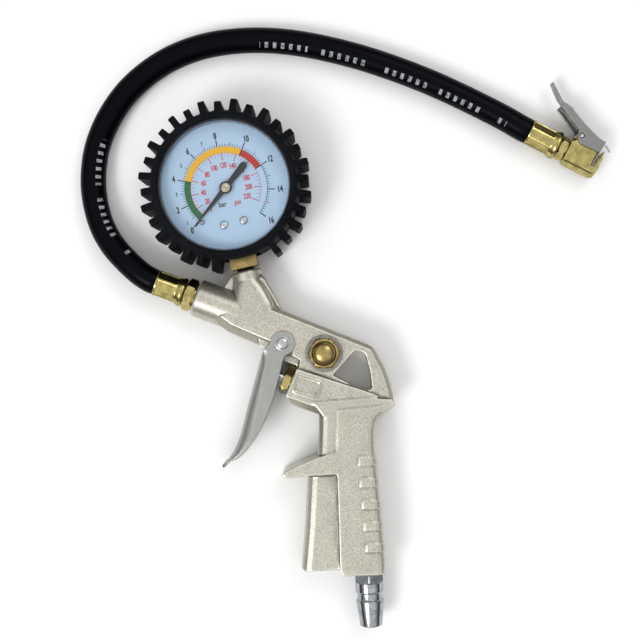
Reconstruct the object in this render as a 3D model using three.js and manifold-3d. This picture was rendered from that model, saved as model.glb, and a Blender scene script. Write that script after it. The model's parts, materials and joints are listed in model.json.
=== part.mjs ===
// A tyre inflator: a die-cast gun body with a squeeze trigger and a release button, a pressure
// gauge in a lugged rubber boot, a short rubber hose, and a clip-on chuck with a thumb lever.
// Millimetres, +Z up. The inflator lies on its side on the plane z = 0 with its dial facing up.
// The origin is on the gauge's axis, at the back face of the boot; the grip points along -Y.
import * as THREE from 'three';
import { mergeVertices } from 'three/addons/utils/BufferGeometryUtils.js';
import Module from 'manifold-3d';

const wasm = await Module();
wasm.setup();

// ---------------------------------------------------------------- driving dimensions
const GAP = 0.3;                 // clearance between pieces that touch

const GUN_Z = 12.5;              // height of the gun's middle plane
const GRIP_HALF = 12.1;          // half thickness of the grip's main panel
const PAD_HALF = 12.5;           // half thickness over the five grip pads
const BAND_HALF = 11.7;          // of the band under the valve block
const BLOCK_HALF = 11.3;         // of the valve block and of the grip's front strips
const UPPER_HALF = 9.2;          // of the upper body, between the trigger's cheeks
const BARREL_RADIUS = 9.3;
const BARREL_ANGLE = -20.5;      // degrees from +X
const BARREL_FACE = [-15.3, -53.0];
const AIR_BORE = 2.8;            // radius of the air passages

const STEM_ANGLE = -77;          // direction from the gauge to the gun, degrees from +X
const PORT_FACE = 41.2;          // distance from the gauge's axis to the port boss's face
const PORT_RADIUS = 7.65;
const STEM_SQUARE = 13.4;        // spanner flats of the gauge's socket

const VALVE_FACE = [31.5, -94.1];
const VALVE_ANGLE = -21.5;
const RELEASE_CENTRE = [47.3, -80.2];
const TRIGGER_PIVOT = [27.3, -75.5];
const INLET_FACE = [69.2, -187.4];
const INLET_ANGLE = -87;

const BOOT_DEPTH = 35;
const BOOT_RADIUS = 35.5;
const BOOT_INNER = 33.2;
const WINDOW_RADIUS = 31.4;
const LUG_PITCH = 11.25;         // degrees between neighbouring lugs
const LUG_WIDTH = 3.4;
const TALL_LUG = 41.4;
const SHORT_LUG = 40.2;
const CASE_RADIUS = 31.9;
const DIAL_Z = 25.9;
const DIAL_CENTRE = [0.4, -1.1];   // the needle's axis, a little off the boot's
const DIAL_ANGLE = 8.1;          // the dial's turn about its own axis, degrees
const NEEDLE_REST = 231.4;       // direction of the needle's tip at zero, degrees from +X

const HOSE_RADIUS = 6.25;
const CHUCK_Z = 7.4;
const CHUCK_START = [148.6, 28.8];
const CHUCK_ANGLE = -27;

const MATERIALS = {
  castBody: [0xb9b5a6, 0.55, 0.6],
  trigger: [0x9b9e98, 0.5, 0.7],
  steel: [0xb4b7ba, 0.3, 1.0],
  brass: [0xb59a4e, 0.3, 1.0],
  rubber: [0x17191c, 0.8, 0.0],
  seal: [0x1e1e1e, 0.7, 0.0],
  black: [0x101010, 0.5, 0.0],
  dial: [0xa9bdd4, 0.6, 0.0],
  lens: [0xdfe6ea, 0.1, 0.0],
  bronze: [0xa87c45, 0.35, 1.0],
};

// ---------------------------------------------------------------- helpers
const radians = THREE.MathUtils.degToRad;

// A closed surface with each shared vertex stored once and no flat triangles.
function sealed(geometry) {
  geometry.deleteAttribute('normal');
  geometry.deleteAttribute('uv');
  const merged = mergeVertices(geometry, 1e-4);
  const corners = merged.index.array;
  const kept = [];
  for (let i = 0; i < corners.length; i += 3) {
    const [a, b, c] = corners.slice(i, i + 3);
    if (a !== b && b !== c && c !== a) kept.push(a, b, c);
  }
  return merged.setIndex(kept);
}

function solid(geometry) {
  return new wasm.Manifold(new wasm.Mesh({
    numProp: 3,
    vertProperties: geometry.attributes.position.array,
    triVerts: new Uint32Array(geometry.index.array),
  }));
}

function union(...geometries) {
  return geometries.map(solid).reduce((sum, next) => sum.add(next));
}

function geometryOf(manifold) {
  const mesh = manifold.getMesh();
  const geometry = new THREE.BufferGeometry();
  geometry.setAttribute('position', new THREE.BufferAttribute(mesh.vertProperties, 3));
  geometry.setIndex(new THREE.BufferAttribute(mesh.triVerts, 1));
  geometry.computeVertexNormals();
  return geometry;
}

function cut(base, ...tools) {
  return geometryOf(tools.reduce((left, tool) => left.subtract(solid(tool)), solid(base)));
}

function join(...geometries) {
  return geometryOf(union(...geometries));
}

function common(a, b) {
  return geometryOf(solid(a).intersect(solid(b)));
}

// A closed outline. Each corner is [x, y] or [x, y, round], where round is how far from the
// corner its curve starts.
function outline(corners) {
  const shape = new THREE.Shape();
  const towards = ([x, y], [x2, y2], distance) => {
    const share = distance / Math.hypot(x2 - x, y2 - y);
    return [x + (x2 - x) * share, y + (y2 - y) * share];
  };
  corners.forEach((corner, i) => {
    const [x, y, round = 0] = corner;
    const before = corners.at(i - 1);
    const after = corners[(i + 1) % corners.length];
    const start = towards(corner, before, round);
    if (i === 0) shape.moveTo(...start);
    else shape.lineTo(...start);
    if (round > 0) shape.quadraticCurveTo(x, y, ...towards(corner, after, round));
  });
  shape.closePath();
  return shape;
}

// An outline given thickness along Z, with its edges chamfered on both faces, or rounded where
// steps is more than 1.
function plate(shape, low, high, chamfer = 0, curveSegments = 3, steps = 1) {
  const geometry = new THREE.ExtrudeGeometry(shape, {
    depth: high - low - 2 * chamfer,
    curveSegments,
    bevelEnabled: chamfer > 0,
    bevelThickness: chamfer,
    bevelSize: chamfer,
    bevelOffset: -chamfer,
    bevelSegments: steps,
  });
  return sealed(geometry).translate(0, 0, low + chamfer);
}

function disc(x, y, radius) {
  const shape = new THREE.Shape();
  shape.absarc(x, y, radius, 0, 2 * Math.PI);
  return shape;
}

// A turned piece: [position along the axis, radius] pairs, going up the outside.
function turned(profile, axis = 'x', segments = 16) {
  const points = profile.map(([along, radius]) => new THREE.Vector2(radius, along));
  const geometry = sealed(new THREE.LatheGeometry(points, segments));
  if (axis === 'x') geometry.rotateZ(-Math.PI / 2);
  if (axis === 'z') geometry.rotateX(Math.PI / 2);
  return geometry;
}

function rod(from, to, radius, axis = 'x', segments = 16) {
  return turned([[from, 0], [from, radius], [to, radius], [to, 0]], axis, segments);
}

function ring(from, to, inner, outer, axis = 'x', segments = 14) {
  const profile = [[from, inner], [from, outer], [to, outer], [to, inner], [from, inner]];
  return turned(profile, axis, segments);
}

function box(x, y, z) {
  const geometry = sealed(new THREE.BoxGeometry(x[1] - x[0], y[1] - y[0], z[1] - z[0]));
  return geometry.translate((x[0] + x[1]) / 2, (y[0] + y[1]) / 2, (z[0] + z[1]) / 2);
}

// A hexagonal bar along an axis with its corners chamfered at both ends. turn is in degrees.
function hexBar(from, to, flats, axis = 'x', turn = 30) {
  const corner = flats / Math.sqrt(3);
  const prism = sealed(new THREE.CylinderGeometry(corner, corner, to - from, 6));
  prism.rotateY(radians(turn)).translate(0, (from + to) / 2, 0);
  if (axis === 'x') prism.rotateZ(-Math.PI / 2);
  if (axis === 'z') prism.rotateX(Math.PI / 2);
  const face = flats * 0.51;
  const slope = (corner - face) * 0.6;
  const blank = [[from, 0], [from, face], [from + slope, corner], [to - slope, corner],
    [to, face], [to, 0]];
  return common(prism, turned(blank, axis));
}

// Wire or tube of a round section along a path.
function wire(points, radius, steps, sides = 6) {
  const section = new THREE.Shape();
  for (let i = 0; i <= sides; i += 1) {
    const angle = (2 * Math.PI * i) / sides;
    const corner = [radius * Math.cos(angle), radius * Math.sin(angle)];
    if (i === 0) section.moveTo(...corner);
    else section.lineTo(...corner);
  }
  const path = new THREE.CatmullRomCurve3(points.map((point) => new THREE.Vector3(...point)));
  return sealed(new THREE.ExtrudeGeometry(section, { steps, extrudePath: path }));
}

// Points of a helix along Z, from angle a (degrees) through a number of turns.
function helix(radius, low, high, turns, perTurn = 10, a = 0) {
  const count = Math.round(turns * perTurn);
  return Array.from({ length: count + 1 }, (_, i) => {
    const angle = radians(a) + (2 * Math.PI * turns * i) / count;
    return [radius * Math.cos(angle), radius * Math.sin(angle), low + ((high - low) * i) / count];
  });
}

const inflator = new THREE.Group();

// A group turned about Z, holding the pieces that share an axis.
function frameAt([x, y], z, degrees, parent = inflator) {
  const group = new THREE.Group();
  group.position.set(x, y, z);
  group.rotation.z = radians(degrees);
  group.updateMatrix();
  parent.add(group);
  return group;
}

function inBody(frame, geometry) {
  return geometry.clone().applyMatrix4(frame.matrix);
}

function part(name, geometry, material, frame = inflator) {
  const [color, roughness, metalness] = MATERIALS[material];
  const finish = new THREE.MeshStandardMaterial({ color, roughness, metalness });
  const mesh = new THREE.Mesh(geometry, finish);
  mesh.name = name;
  frame.add(mesh);
}

const barrel = frameAt(BARREL_FACE, GUN_Z, BARREL_ANGLE);
const stem = frameAt([0, 0], GUN_Z, STEM_ANGLE);
const valve = frameAt(VALVE_FACE, GUN_Z, VALVE_ANGLE);
const release = frameAt(RELEASE_CENTRE, 0, 0);
const pivot = frameAt(TRIGGER_PIVOT, GUN_Z, 0);
const inlet = frameAt(INLET_FACE, GUN_Z, INLET_ANGLE);
const gauge = frameAt(DIAL_CENTRE, 0, STEM_ANGLE + 90);
const dialFrame = frameAt(DIAL_CENTRE, 0, DIAL_ANGLE);
const chuck = frameAt(CHUCK_START, CHUCK_Z, CHUCK_ANGLE);

// ---------------------------------------------------------------- gun body
const layer = (shape, half) => plate(shape, GUN_Z - half, GUN_Z + half);

// A layer whose edges are chamfered where they lie on the edges of a wider outline.
function edged(corners, half, wider, chamfer, steps = 1) {
  const blank = plate(outline(wider), GUN_Z - half, GUN_Z + half, chamfer, 3, steps);
  return common(layer(outline(corners), half), blank);
}

// The grip's back edge, from the thumb rest down, and a wide outline bounded by it on the right.
const BACK_EDGE = [[84, -98], [80.2, -106.7], [76.4, -109.3], [73, -112.5], [71.8, -118], [72, -126],
  [74.7, -154], [77, -180], [77.6, -200]];
const behindGrip = (proud = 0) => [[0, -98], ...BACK_EDGE.map(([x, y]) => [x + proud, y]), [0, -200]];

function gunBody() {
  const grip = edged([
    [53.6, -107.8], [82, -105.1], [82, -180], [77.2, -184.8], [76.4, -186.7, 0.8], [56.4, -187.4, 1],
    [55.2, -185], [53.8, -141], [53.6, -138.4, 0.8], [39.3, -139.3], [28.4, -140.4, 1.2],
    [26.9, -138.2, 1.2], [36, -133.6], [45, -130], [53.4, -127.9, 1],
  ], GRIP_HALF, behindGrip(), 3.8, 3);
  const neckStrip = edged([
    [44.8, -108.5], [55, -106.5], [55, -130], [45.5, -133], [44.2, -130], [44.8, -118],
  ], BAND_HALF, [[45, -95], [44.8, -118], [44.2, -131], [44, -160], [90, -160], [90, -95]], 4.2, 3);
  const gripStrip = edged([
    [41, -137], [56, -137], [56.5, -184.3], [37.6, -185.3, 0.8], [36.3, -184.2, 0.8],
    [38, -166], [39.5, -139.5],
  ], BLOCK_HALF, [[40.5, -120], [38, -166], [36, -190], [90, -195], [90, -120]], 4.8, 3);
  const block = edged([
    [34.2, -87.6], [70.5, -99.4], [74, -101], [60, -107], [45.2, -112], [44.8, -109.9, 1],
    [31, -105, 1.4], [28.8, -100.7, 1],
  ], BLOCK_HALF, [[24, -80], [24, -102.5], [45, -110], [52, -125], [90, -125], [90, -80]], 3.2);
  const band = layer(outline([
    [42, -104.1], [69.5, -101.8], [80, -102.2, 0.8], [81.7, -104.5, 1], [80.4, -106, 0.8],
    [76, -108.5], [54, -110], [47, -110.8],
  ]), BAND_HALF);
  // The upper body grows out of the round barrel, and its lower edges slope more than its upper.
  const sloped = plate(outline([
    [-14, -30], [-14, -58], [-5.1, -65.7], [1.3, -70.3], [17, -77], [24, -79.8], [28, -81],
    [28, -140], [100, -140], [100, -30],
  ]), GUN_Z - UPPER_HALF, GUN_Z + UPPER_HALF, 4.2);
  const upper = common(sloped, edged([
    [8, -56.5], [23.5, -57.9], [28, -59.6], [71.3, -76.8, 2.5], [77.3, -88], [80.2, -97],
    [81.6, -104.5, 1], [70, -104], [35.5, -92], [34.8, -88.4], [35.7, -83.4], [33, -82],
    [20.5, -78.4], [17, -77], [1.3, -70.3], [-5.1, -65.7], [-8, -62],
  ], UPPER_HALF, [
    [28, -59.6], [71.3, -76.8], [77.3, -88], [80.2, -97], [86, -125], [-30, -125], [-10, -62.8],
    [8, -56.5], [21, -56.9],
  ], 2.2));
  const window = outline([
    [51.4, -91, 1.2], [62.7, -78.4, 2], [67.3, -80.3, 1.5], [69.6, -89], [70.7, -97.8, 1.5],
    [65.5, -97.6, 1.5],
  ]);
  const web = outline([
    [24, -79], [36.5, -79], [37.5, -90], [34.8, -88.6], [33.8, -86.4], [27, -83.9, 1.5],
  ]);
  const rightGusset = outline([[13, -45], [16.6, -41.8], [19.4, -44.2], [28, -59.6], [18, -60]]);
  const leftGusset = outline([[5, -44], [2.4, -42.6], [-1.2, -48], [4, -52]]);
  const castTab = outline([[15.6, -73.6], [20.8, -75.2], [21, -78.2, 0.8], [16.6, -77.4, 0.8]]);
  const barrelBar = turned([[0, 0], [0, 8.3], [1.0, BARREL_RADIUS], [24, BARREL_RADIUS],
    [38, 7.5], [38, 0]], 'x', 32);
  const boss = turned([[PORT_FACE, 0], [PORT_FACE, 6.9], [PORT_FACE + 0.8, PORT_RADIUS],
    [47, PORT_RADIUS], [55, 8], [62, UPPER_HALF], [66, UPPER_HALF], [66, 0]], 'x', 24);

  const body = union(
    grip, neckStrip, gripStrip, block, band, upper, layer(web, 2.5), layer(castTab, 8),
    plate(rightGusset, GUN_Z - 5.5, GUN_Z + 5.5, 1.2), layer(leftGusset, 3),
    inBody(barrel, barrelBar), inBody(stem, boss), ...gripPads(), ...badgeFrame(),
  );

  const passages = [
    layer(window, 14),
    inBody(barrel, rod(-1, 11, 5.1)),
    inBody(barrel, rod(10, 66, AIR_BORE, 'x', 12)),
    inBody(stem, rod(PORT_FACE - 1, PORT_FACE + 10.5, 4.9)),
    inBody(stem, rod(PORT_FACE + 10, 65, 2.2, 'x', 10)),
    inBody(pivot, rod(-14, 14, 2.5, 'z', 12)),
    inBody(release, rod(8, 24, 6.3, 'z')),
    inBody(valve, rod(-2, 13, 5.8)),
    inBody(valve, rod(12, 36, 4.6, 'x', 16)),
    inBody(inlet, rod(-13, 2, 6)),
    inBody(inlet, rod(-84, -12, 3.5, 'x', 12)),
    crossPassage(),
  ];
  return geometryOf(passages.reduce((left, tool) => left.subtract(solid(tool)), body));
}

// The drilling that joins the valve's chamber to the release valve's chamber.
function crossPassage() {
  const drill = rod(0, 15, 2, 'x', 12);
  const frame = new THREE.Matrix4().makeRotationZ(radians(69));
  frame.setPosition(40.2, -97.5, GUN_Z);
  return drill.applyMatrix4(frame);
}

// Five raised pads wrap around the back edge of the grip, on both faces.
function gripPads() {
  const blank = plate(outline(behindGrip(0.3)), GUN_Z - PAD_HALF, GUN_Z + PAD_HALF, 3.8, 3, 3);
  return Array.from({ length: 5 }, (_, i) => {
    const y = -132 - 10.4 * i;
    const left = 64 + 0.95 * i;
    const pad = outline([[left, y + 2.1, 0.8], [left, y - 2.1, 0.8], [left + 15, y - 2.1],
      [left + 15, y + 2.1]]);
    return common(blank, plate(pad, -1, 26));
  });
}

// A raised rounded frame on each face of the valve block, with a blank field inside it.
function badgeFrame() {
  const outer = outline([[33.8, -90.0, 1.6], [46.3, -93.7, 1.6], [44.2, -102.5, 1.6], [32.1, -98.8, 1.6]]);
  const inner = outline([[34.4, -90.9, 1.2], [45.5, -94.2, 1.2], [43.7, -101.6, 1.2],
    [32.9, -98.3, 1.2]]);
  const depth = [BLOCK_HALF - 0.5, BLOCK_HALF + 0.35];
  const faces = [depth.map((d) => GUN_Z + d), depth.map((d) => GUN_Z - d).reverse()];
  return faces.map(([low, high]) => cut(plate(outer, low, high, 0, 2),
    plate(inner, low - 1, high + 1, 0, 2)));
}

part('gun_body', gunBody(), 'castBody');

// ---------------------------------------------------------------- air inlet
function inletPlug() {
  const hex = hexBar(GAP, 5.0, 13.6);
  const nose = turned([[-11.5, 0], [-11.5, 5.4], [GAP, 5.4], [5.0, 6.6], [5.4, 6.9], [9.6, 6.9],
    [9.8, 6.1], [13.2, 6.1], [13.8, 6.7], [14.6, 6.6], [25.9, 5.5], [26.6, 4.6], [26.6, 0]]);
  return cut(join(hex, nose), rod(-13, 28, 3.2, 'x', 16));
}
part('inlet_plug', inletPlug(), 'steel', inlet);

// ---------------------------------------------------------------- trigger
const CHEEK_INNER = 9.6;
const CHEEK_OUTER = 10.9;
const EYE_RADIUS = 5.9;

function triggerLever() {
  // Outlines are measured from the pivot. The front edge is on the -X side.
  const front = [[-8.8, -4.1], [-12.1, -17], [-15.5, -29], [-19.2, -43.5], [-23, -51.5],
    [-29.3, -59.7]];
  const back = [[-27, -58.5], [-18.5, -53.5], [-14.8, -50.5], [-11, -43], [-6.8, -34], [-2.8, -23],
    [-1.2, -14], [0.2, -8.4]];
  const cheek = outline([...front, ...back, [5.2, -2.8], [0, 5.5], [-6, 1]]);
  const wide = outline([...front, [-10, -62], [14, -20], [14, 9], [-8, 9], [-8.4, 0]]);
  const shell = plate(wide, -CHEEK_OUTER, CHEEK_OUTER, 2.6);
  const eye = rod(-CHEEK_OUTER, CHEEK_OUTER, EYE_RADIUS, 'z');
  const cheeks = union(plate(cheek, -CHEEK_OUTER, CHEEK_OUTER), eye).intersect(solid(shell));
  const hollow = sealed(new THREE.ExtrudeGeometry(wide, {
    depth: 2 * (CHEEK_INNER - 2), curveSegments: 1, bevelEnabled: true,
    bevelThickness: 2, bevelSize: 2, bevelOffset: -3.4, bevelSegments: 1,
  })).translate(0, 0, -(CHEEK_INNER - 2));
  const above = box([-9.5, 12], [-3.9, 12], [-CHEEK_INNER, CHEEK_INNER]);
  const bore = rod(-14, 14, 2.5, 'z', 16);
  return geometryOf(cheeks.subtract(solid(hollow)).subtract(solid(above)).subtract(solid(bore)));
}
part('trigger', triggerLever(), 'trigger', pivot);

function rivet() {
  const head = CHEEK_OUTER + 0.15;
  const top = PAD_HALF - 0.15;
  return turned([[-top, 0], [-top, 2.6], [-head - 0.3, 3.4], [-head, 3.4], [-head, 2.2],
    [head, 2.2], [head, 3.4], [head + 0.3, 3.4], [top, 2.6], [top, 0]], 'z', 20);
}
part('trigger_rivet', rivet(), 'steel', pivot);

// ---------------------------------------------------------------- inflation valve
const NUT_LENGTH = 4.4;
const STEM_REACH = -13.6;        // where the stem meets the trigger's web

part('valve_nut', cut(
  join(hexBar(-NUT_LENGTH, -GAP, 13.2, 'x', 12), rod(-GAP - 0.2, 8, 5.4)),
  rod(-6, 9, 2.5, 'x', 16),
), 'brass', valve);
part('valve_stem', turned([[STEM_REACH, 0], [STEM_REACH, 1.4], [STEM_REACH + 0.8, 2.1], [8.4, 2.1],
  [8.4, 1.2], [12.6, 1.2], [12.6, 0]], 'x', 16), 'steel', valve);
part('valve_oring', ring(8.8, 10.6, 2.4, 5.2), 'seal', valve);
part('valve_seat', ring(11, 12.6, 2.4, 5.2), 'seal', valve);
part('valve_poppet', turned([[12.9, 0], [12.9, 3.4], [13.6, 4.1], [16, 4.1], [16, 1.6], [18.4, 1.6],
  [18.4, 0]], 'x', 20), 'brass', valve);
part('valve_spring', wire(helix(3.2, 16.9, 34.6, 4.5, 8).map(([x, y, z]) => [z, x, y]), 0.5, 36, 5),
  'steel', valve);

// ---------------------------------------------------------------- release valve
const UPPER_FACE = GUN_Z + UPPER_HALF;

function splitWasher() {
  const washer = ring(UPPER_FACE + 0.2, UPPER_FACE + 1.5, 6.5, 9.1, 'z', 24);
  return cut(washer, box([0.6, 1.9], [5, 10], [UPPER_FACE - 1, UPPER_FACE + 3]));
}
part('release_lock_washer', splitWasher(), 'steel', release);
part('release_bushing', cut(
  join(hexBar(UPPER_FACE + 1.8, UPPER_FACE + 5.6, 14, 'z', 0), rod(10, UPPER_FACE + 2, 6, 'z')),
  rod(UPPER_FACE - 1, UPPER_FACE + 7, 5.75, 'z'),
  rod(9, UPPER_FACE, 3.4, 'z', 16),
), 'brass', release);
part('release_button', turned([[10.4, 0], [10.4, 1.5], [UPPER_FACE + 1.4, 1.5],
  [UPPER_FACE + 1.4, 5.4], [UPPER_FACE + 6.4, 5.4], [UPPER_FACE + 7.6, 4.7],
  [UPPER_FACE + 8.5, 3], [UPPER_FACE + 8.8, 0]], 'z'), 'brass', release);
part('release_spring', wire(helix(2.4, 12.6, UPPER_FACE + 0.6, 4, 8), 0.4, 32, 5), 'steel', release);
part('release_seal', ring(8.6, 9.7, 2.3, 5.6, 'z'), 'seal', release);

// ---------------------------------------------------------------- gauge case and boot
function lug(outer, clockwise) {
  const profile = new THREE.Shape([[33.9, 0.5], [outer - 1.5, 0.5], [outer, 2.5], [outer, 30.2],
    [outer - 1, 31.4], [34.8, 33.6], [33.9, 33.6]].map(([r, z]) => new THREE.Vector2(r, z)));
  const geometry = plate(profile, 0, LUG_WIDTH);
  geometry.rotateX(Math.PI / 2).translate(0, LUG_WIDTH / 2, 0);
  return geometry.rotateZ(radians(90 - clockwise));
}

// 32 places for lugs, alternately tall and short, less the three over the stem.
function boot() {
  const cup = turned([[0, 0], [0, 33.5], [1.5, BOOT_RADIUS], [31.4, BOOT_RADIUS], [34.2, 34.4],
    [BOOT_DEPTH, 33.4], [BOOT_DEPTH, 31.8], [34.4, WINDOW_RADIUS], [33.3, WINDOW_RADIUS],
    [33.3, BOOT_INNER], [2.5, BOOT_INNER], [2.5, 0]], 'z', 40);
  const stemClockwise = 90 - STEM_ANGLE;
  const firstTall = 186.25;
  const lugs = Array.from({ length: 32 }, (_, i) => [firstTall - LUG_PITCH * i, i % 2])
    .filter(([angle]) => Math.abs(angle - stemClockwise) > 1.5 * LUG_PITCH)
    .map(([angle, odd]) => lug(odd ? SHORT_LUG : TALL_LUG, angle));
  const whole = union(cup, ...lugs);
  const opening = box([30, 45], [-8.6, 8.6], [2.5 - GUN_Z, 13.5]);
  return geometryOf(whole.subtract(solid(inBody(stem, opening))));
}
part('rubber_boot', boot(), 'rubber');

const SOCKET_HALF = STEM_SQUARE / 2;

part('gauge_case', cut(
  turned([[2.8, 0], [2.8, 31.2], [3.5, CASE_RADIUS], [28.9, CASE_RADIUS], [28.9, 31], [3.7, 31],
    [3.7, 0]], 'z', 28),
  inBody(stem, box([28, 34], [-SOCKET_HALF - GAP, SOCKET_HALF + GAP],
    [-SOCKET_HALF - GAP, SOCKET_HALF + GAP])),
), 'black');
part('lens_gasket', ring(29.2, 30, 29.8, CASE_RADIUS, 'z', 24), 'seal');
part('lens', turned([[30.3, 0], [30.3, CASE_RADIUS], [32.1, CASE_RADIUS], [32.1, 0]], 'z', 28),
  'lens');
part('bezel_ring', turned([[20, 32.2], [20, 32.9], [33, 32.9], [33, 31.1], [32.4, 31.1],
  [32.4, 32.2], [20, 32.2]], 'z', 28), 'black');

// ---------------------------------------------------------------- gauge socket and movement
part('gauge_socket', cut(
  join(
    box([14, 31], [-SOCKET_HALF, SOCKET_HALF], [-6.5, 5.5]),
    box([30, 39.9], [-SOCKET_HALF, SOCKET_HALF], [-SOCKET_HALF, SOCKET_HALF]),
    rod(39, PORT_FACE + 9.5, 4.6),
  ),
  rod(20, PORT_FACE + 11, 1.5, 'x', 12),
), 'brass', stem);

// The tube is soldered to the socket and curls clockwise to its tip.
const TUBE_RADIUS = 24;
const TUBE_Z = [7.5, 16.5];
const TUBE_START = -109;
const TUBE_END = -397;

function arcBand(inner, outer, from, to, segments) {
  const at = (radius, share) => {
    const angle = radians(from + (to - from) * share);
    return new THREE.Vector2(radius * Math.cos(angle), radius * Math.sin(angle));
  };
  const shares = Array.from({ length: segments + 1 }, (_, i) => i / segments);
  const out = shares.map((share) => at(outer, share));
  const back = shares.map((share) => at(inner, share)).reverse();
  return new THREE.Shape([...out, ...back]);
}

part('bourdon_tube', plate(arcBand(TUBE_RADIUS - 1.6, TUBE_RADIUS + 1.6, TUBE_START, TUBE_END, 36),
  ...TUBE_Z), 'bronze', gauge);

// The sector turns on its own arbor and drives the pinion at the gauge's centre.
const SECTOR_PIVOT = [11.5, -8];
const SECTOR_Z = [20.6, 21.8];
const TAIL_REACH = 4.5;
const TAIL_REST = -151;          // direction of the tail at zero pressure
const TEETH_REST = 120;          // direction of the middle of the teeth at zero pressure
const SECTOR_TIP = 11.7;
const PINION_TIP = 2.0;
const LINK_ANGLE = -36;
const LINK_LENGTH = 10;

const polar = (radius, degrees) => [radius * Math.cos(radians(degrees)),
  radius * Math.sin(radians(degrees))];
const tailPin = polar(TAIL_REACH, TAIL_REST);
const sector = frameAt(SECTOR_PIVOT, 0, 0, gauge);

function sectorGear() {
  const teeth = 15;
  const half = 34;
  const rim = [];
  for (let i = 0; i <= teeth * 4; i += 1) {
    const radius = i % 4 < 2 ? SECTOR_TIP : SECTOR_TIP - 0.8;
    rim.push(polar(radius, TEETH_REST - half + (2 * half * i) / (teeth * 4)));
  }
  const fan = outline([...rim, polar(2, TEETH_REST + 80), polar(2, TEETH_REST - 80)]);
  const tail = outline([polar(2, TAIL_REST + 90), polar(2, TAIL_REST + 180), polar(2, TAIL_REST - 90),
    polar(TAIL_REACH + 1.6, TAIL_REST - 14), polar(TAIL_REACH + 1.6, TAIL_REST + 14)]);
  const gear = join(plate(fan, ...SECTOR_Z), plate(tail, ...SECTOR_Z), rod(18.8, 24, 0.8, 'z', 12));
  const hole = rod(20, 23, 0.9, 'z', 12).translate(tailPin[0], tailPin[1], 0);
  return cut(gear, hole);
}
part('sector_gear', sectorGear(), 'brass', sector);

const linkEnd = polar(LINK_LENGTH, LINK_ANGLE);
const link = frameAt(tailPin, 0, 0, sector);

function linkBar() {
  const side = polar(0.9, LINK_ANGLE + 90);
  const from = polar(-0.9, LINK_ANGLE);
  const to = polar(LINK_LENGTH + 0.9, LINK_ANGLE);
  const bar = outline([[from[0] - side[0], from[1] - side[1], 0.5],
    [to[0] - side[0], to[1] - side[1], 0.5], [to[0] + side[0], to[1] + side[1], 0.5],
    [from[0] + side[0], from[1] + side[1], 0.5]]);
  const pin = rod(20.9, 22.5, 0.5, 'z', 8);
  return join(plate(bar, 22.1, 22.7), pin, pin.clone().translate(...linkEnd, 0));
}
part('gauge_link', linkBar(), 'brass', link);

// The end piece closes the tube and reaches up to the link.
function tubeTip() {
  const cap = plate(arcBand(TUBE_RADIUS - 2, TUBE_RADIUS + 2, TUBE_END - 2.5, TUBE_END - 13, 4),
    ...TUBE_Z);
  const x = SECTOR_PIVOT[0] + tailPin[0] + linkEnd[0];
  const y = SECTOR_PIVOT[1] + tailPin[1] + linkEnd[1];
  const ear = rod(12, 21.7, 1.9, 'z', 16).translate(x, y, 0);
  return cut(join(cap, ear), rod(20.2, 23, 1.05, 'z', 12).translate(x, y, 0));
}
part('bourdon_tip', tubeTip(), 'brass', gauge);

// Two plates on two pillars carry the arbors; the pillars also hold the dial's screws.
const PILLARS = [[-4.8, -17], [4.8, -17]];
const movementPlate = outline([[-4, 5, 2], [5, 5, 2], [16, -4, 2], [15, -12, 2], [7.4, -20, 2],
  [-7.4, -20, 2], [-7.4, -12, 2]]);
const pillarHoles = (low, high, radius) => PILLARS.map(([x, y]) => (
  rod(low, high, radius, 'z', 12).translate(x, y, 0)));
const arborHoles = (low, high) => [[0, 0], SECTOR_PIVOT].map(([x, y]) => (
  rod(low, high, 1.15, 'z', 12).translate(x, y, 0)));

part('movement_back_plate', cut(plate(movementPlate, 18.3, 19.3),
  ...arborHoles(18, 20)), 'brass', gauge);
part('movement_front_plate', cut(plate(movementPlate, 23.4, 24.2),
  ...arborHoles(23, 25), ...pillarHoles(23, 25, 1.9)), 'brass', gauge);
PILLARS.forEach(([x, y], i) => {
  const pillar = turned([[19.6, 0], [19.6, 2.2], [23.1, 2.2], [23.1, 1.6], [25.6, 1.6],
    [25.6, 1.1], [22, 1.1], [22, 0]], 'z', 16);
  part(`movement_pillar_${i + 1}`, pillar.translate(x, y, 0), 'brass', gauge);
  const screw = turned([[22.6, 0], [22.6, 0.8], [27, 0.8], [27, 1.9], [27.7, 1.9], [28, 1.4],
    [28, 0]], 'z', 16);
  const slot = box([-2.5, 2.5], [-0.3, 0.3], [27.6, 28.2]).rotateZ(radians(40 - 75 * i));
  part(`dial_screw_${i + 1}`, cut(screw, slot).translate(x, y, 0), 'brass', gauge);
});

function pinion() {
  const teeth = 9;
  const rim = Array.from({ length: teeth * 4 }, (_, i) => (
    polar(i % 4 < 2 ? PINION_TIP : PINION_TIP - 0.7, (360 * i) / (teeth * 4))));
  return join(plate(outline(rim), 20.3, 22), rod(18.6, 29, 0.7, 'z', 12));
}
part('pinion_arbor', pinion(), 'steel', gauge);

function hairspring() {
  const at = (turn, offset) => polar(3 + 1.5 * turn + offset, 360 * turn + 200);
  const steps = Array.from({ length: 41 }, (_, i) => i / 16);
  const strip = [...steps.map((turn) => at(turn, 0.14)),
    ...steps.map((turn) => at(turn, -0.14)).reverse()];
  return plate(outline(strip), 22.35, 22.95);
}
part('hairspring', hairspring(), 'bronze', gauge);

// ---------------------------------------------------------------- dial and needle
part('dial_plate', cut(
  plate(disc(0, 0, 30.6), DIAL_Z, DIAL_Z + 0.8, 0, 18),
  inBody(dialFrame, rod(25, 28, 1.2, 'z', 12)),
  ...pillarHoles(25, 28, 1.2).map((hole) => inBody(gauge, hole)),
), 'dial');

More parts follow.
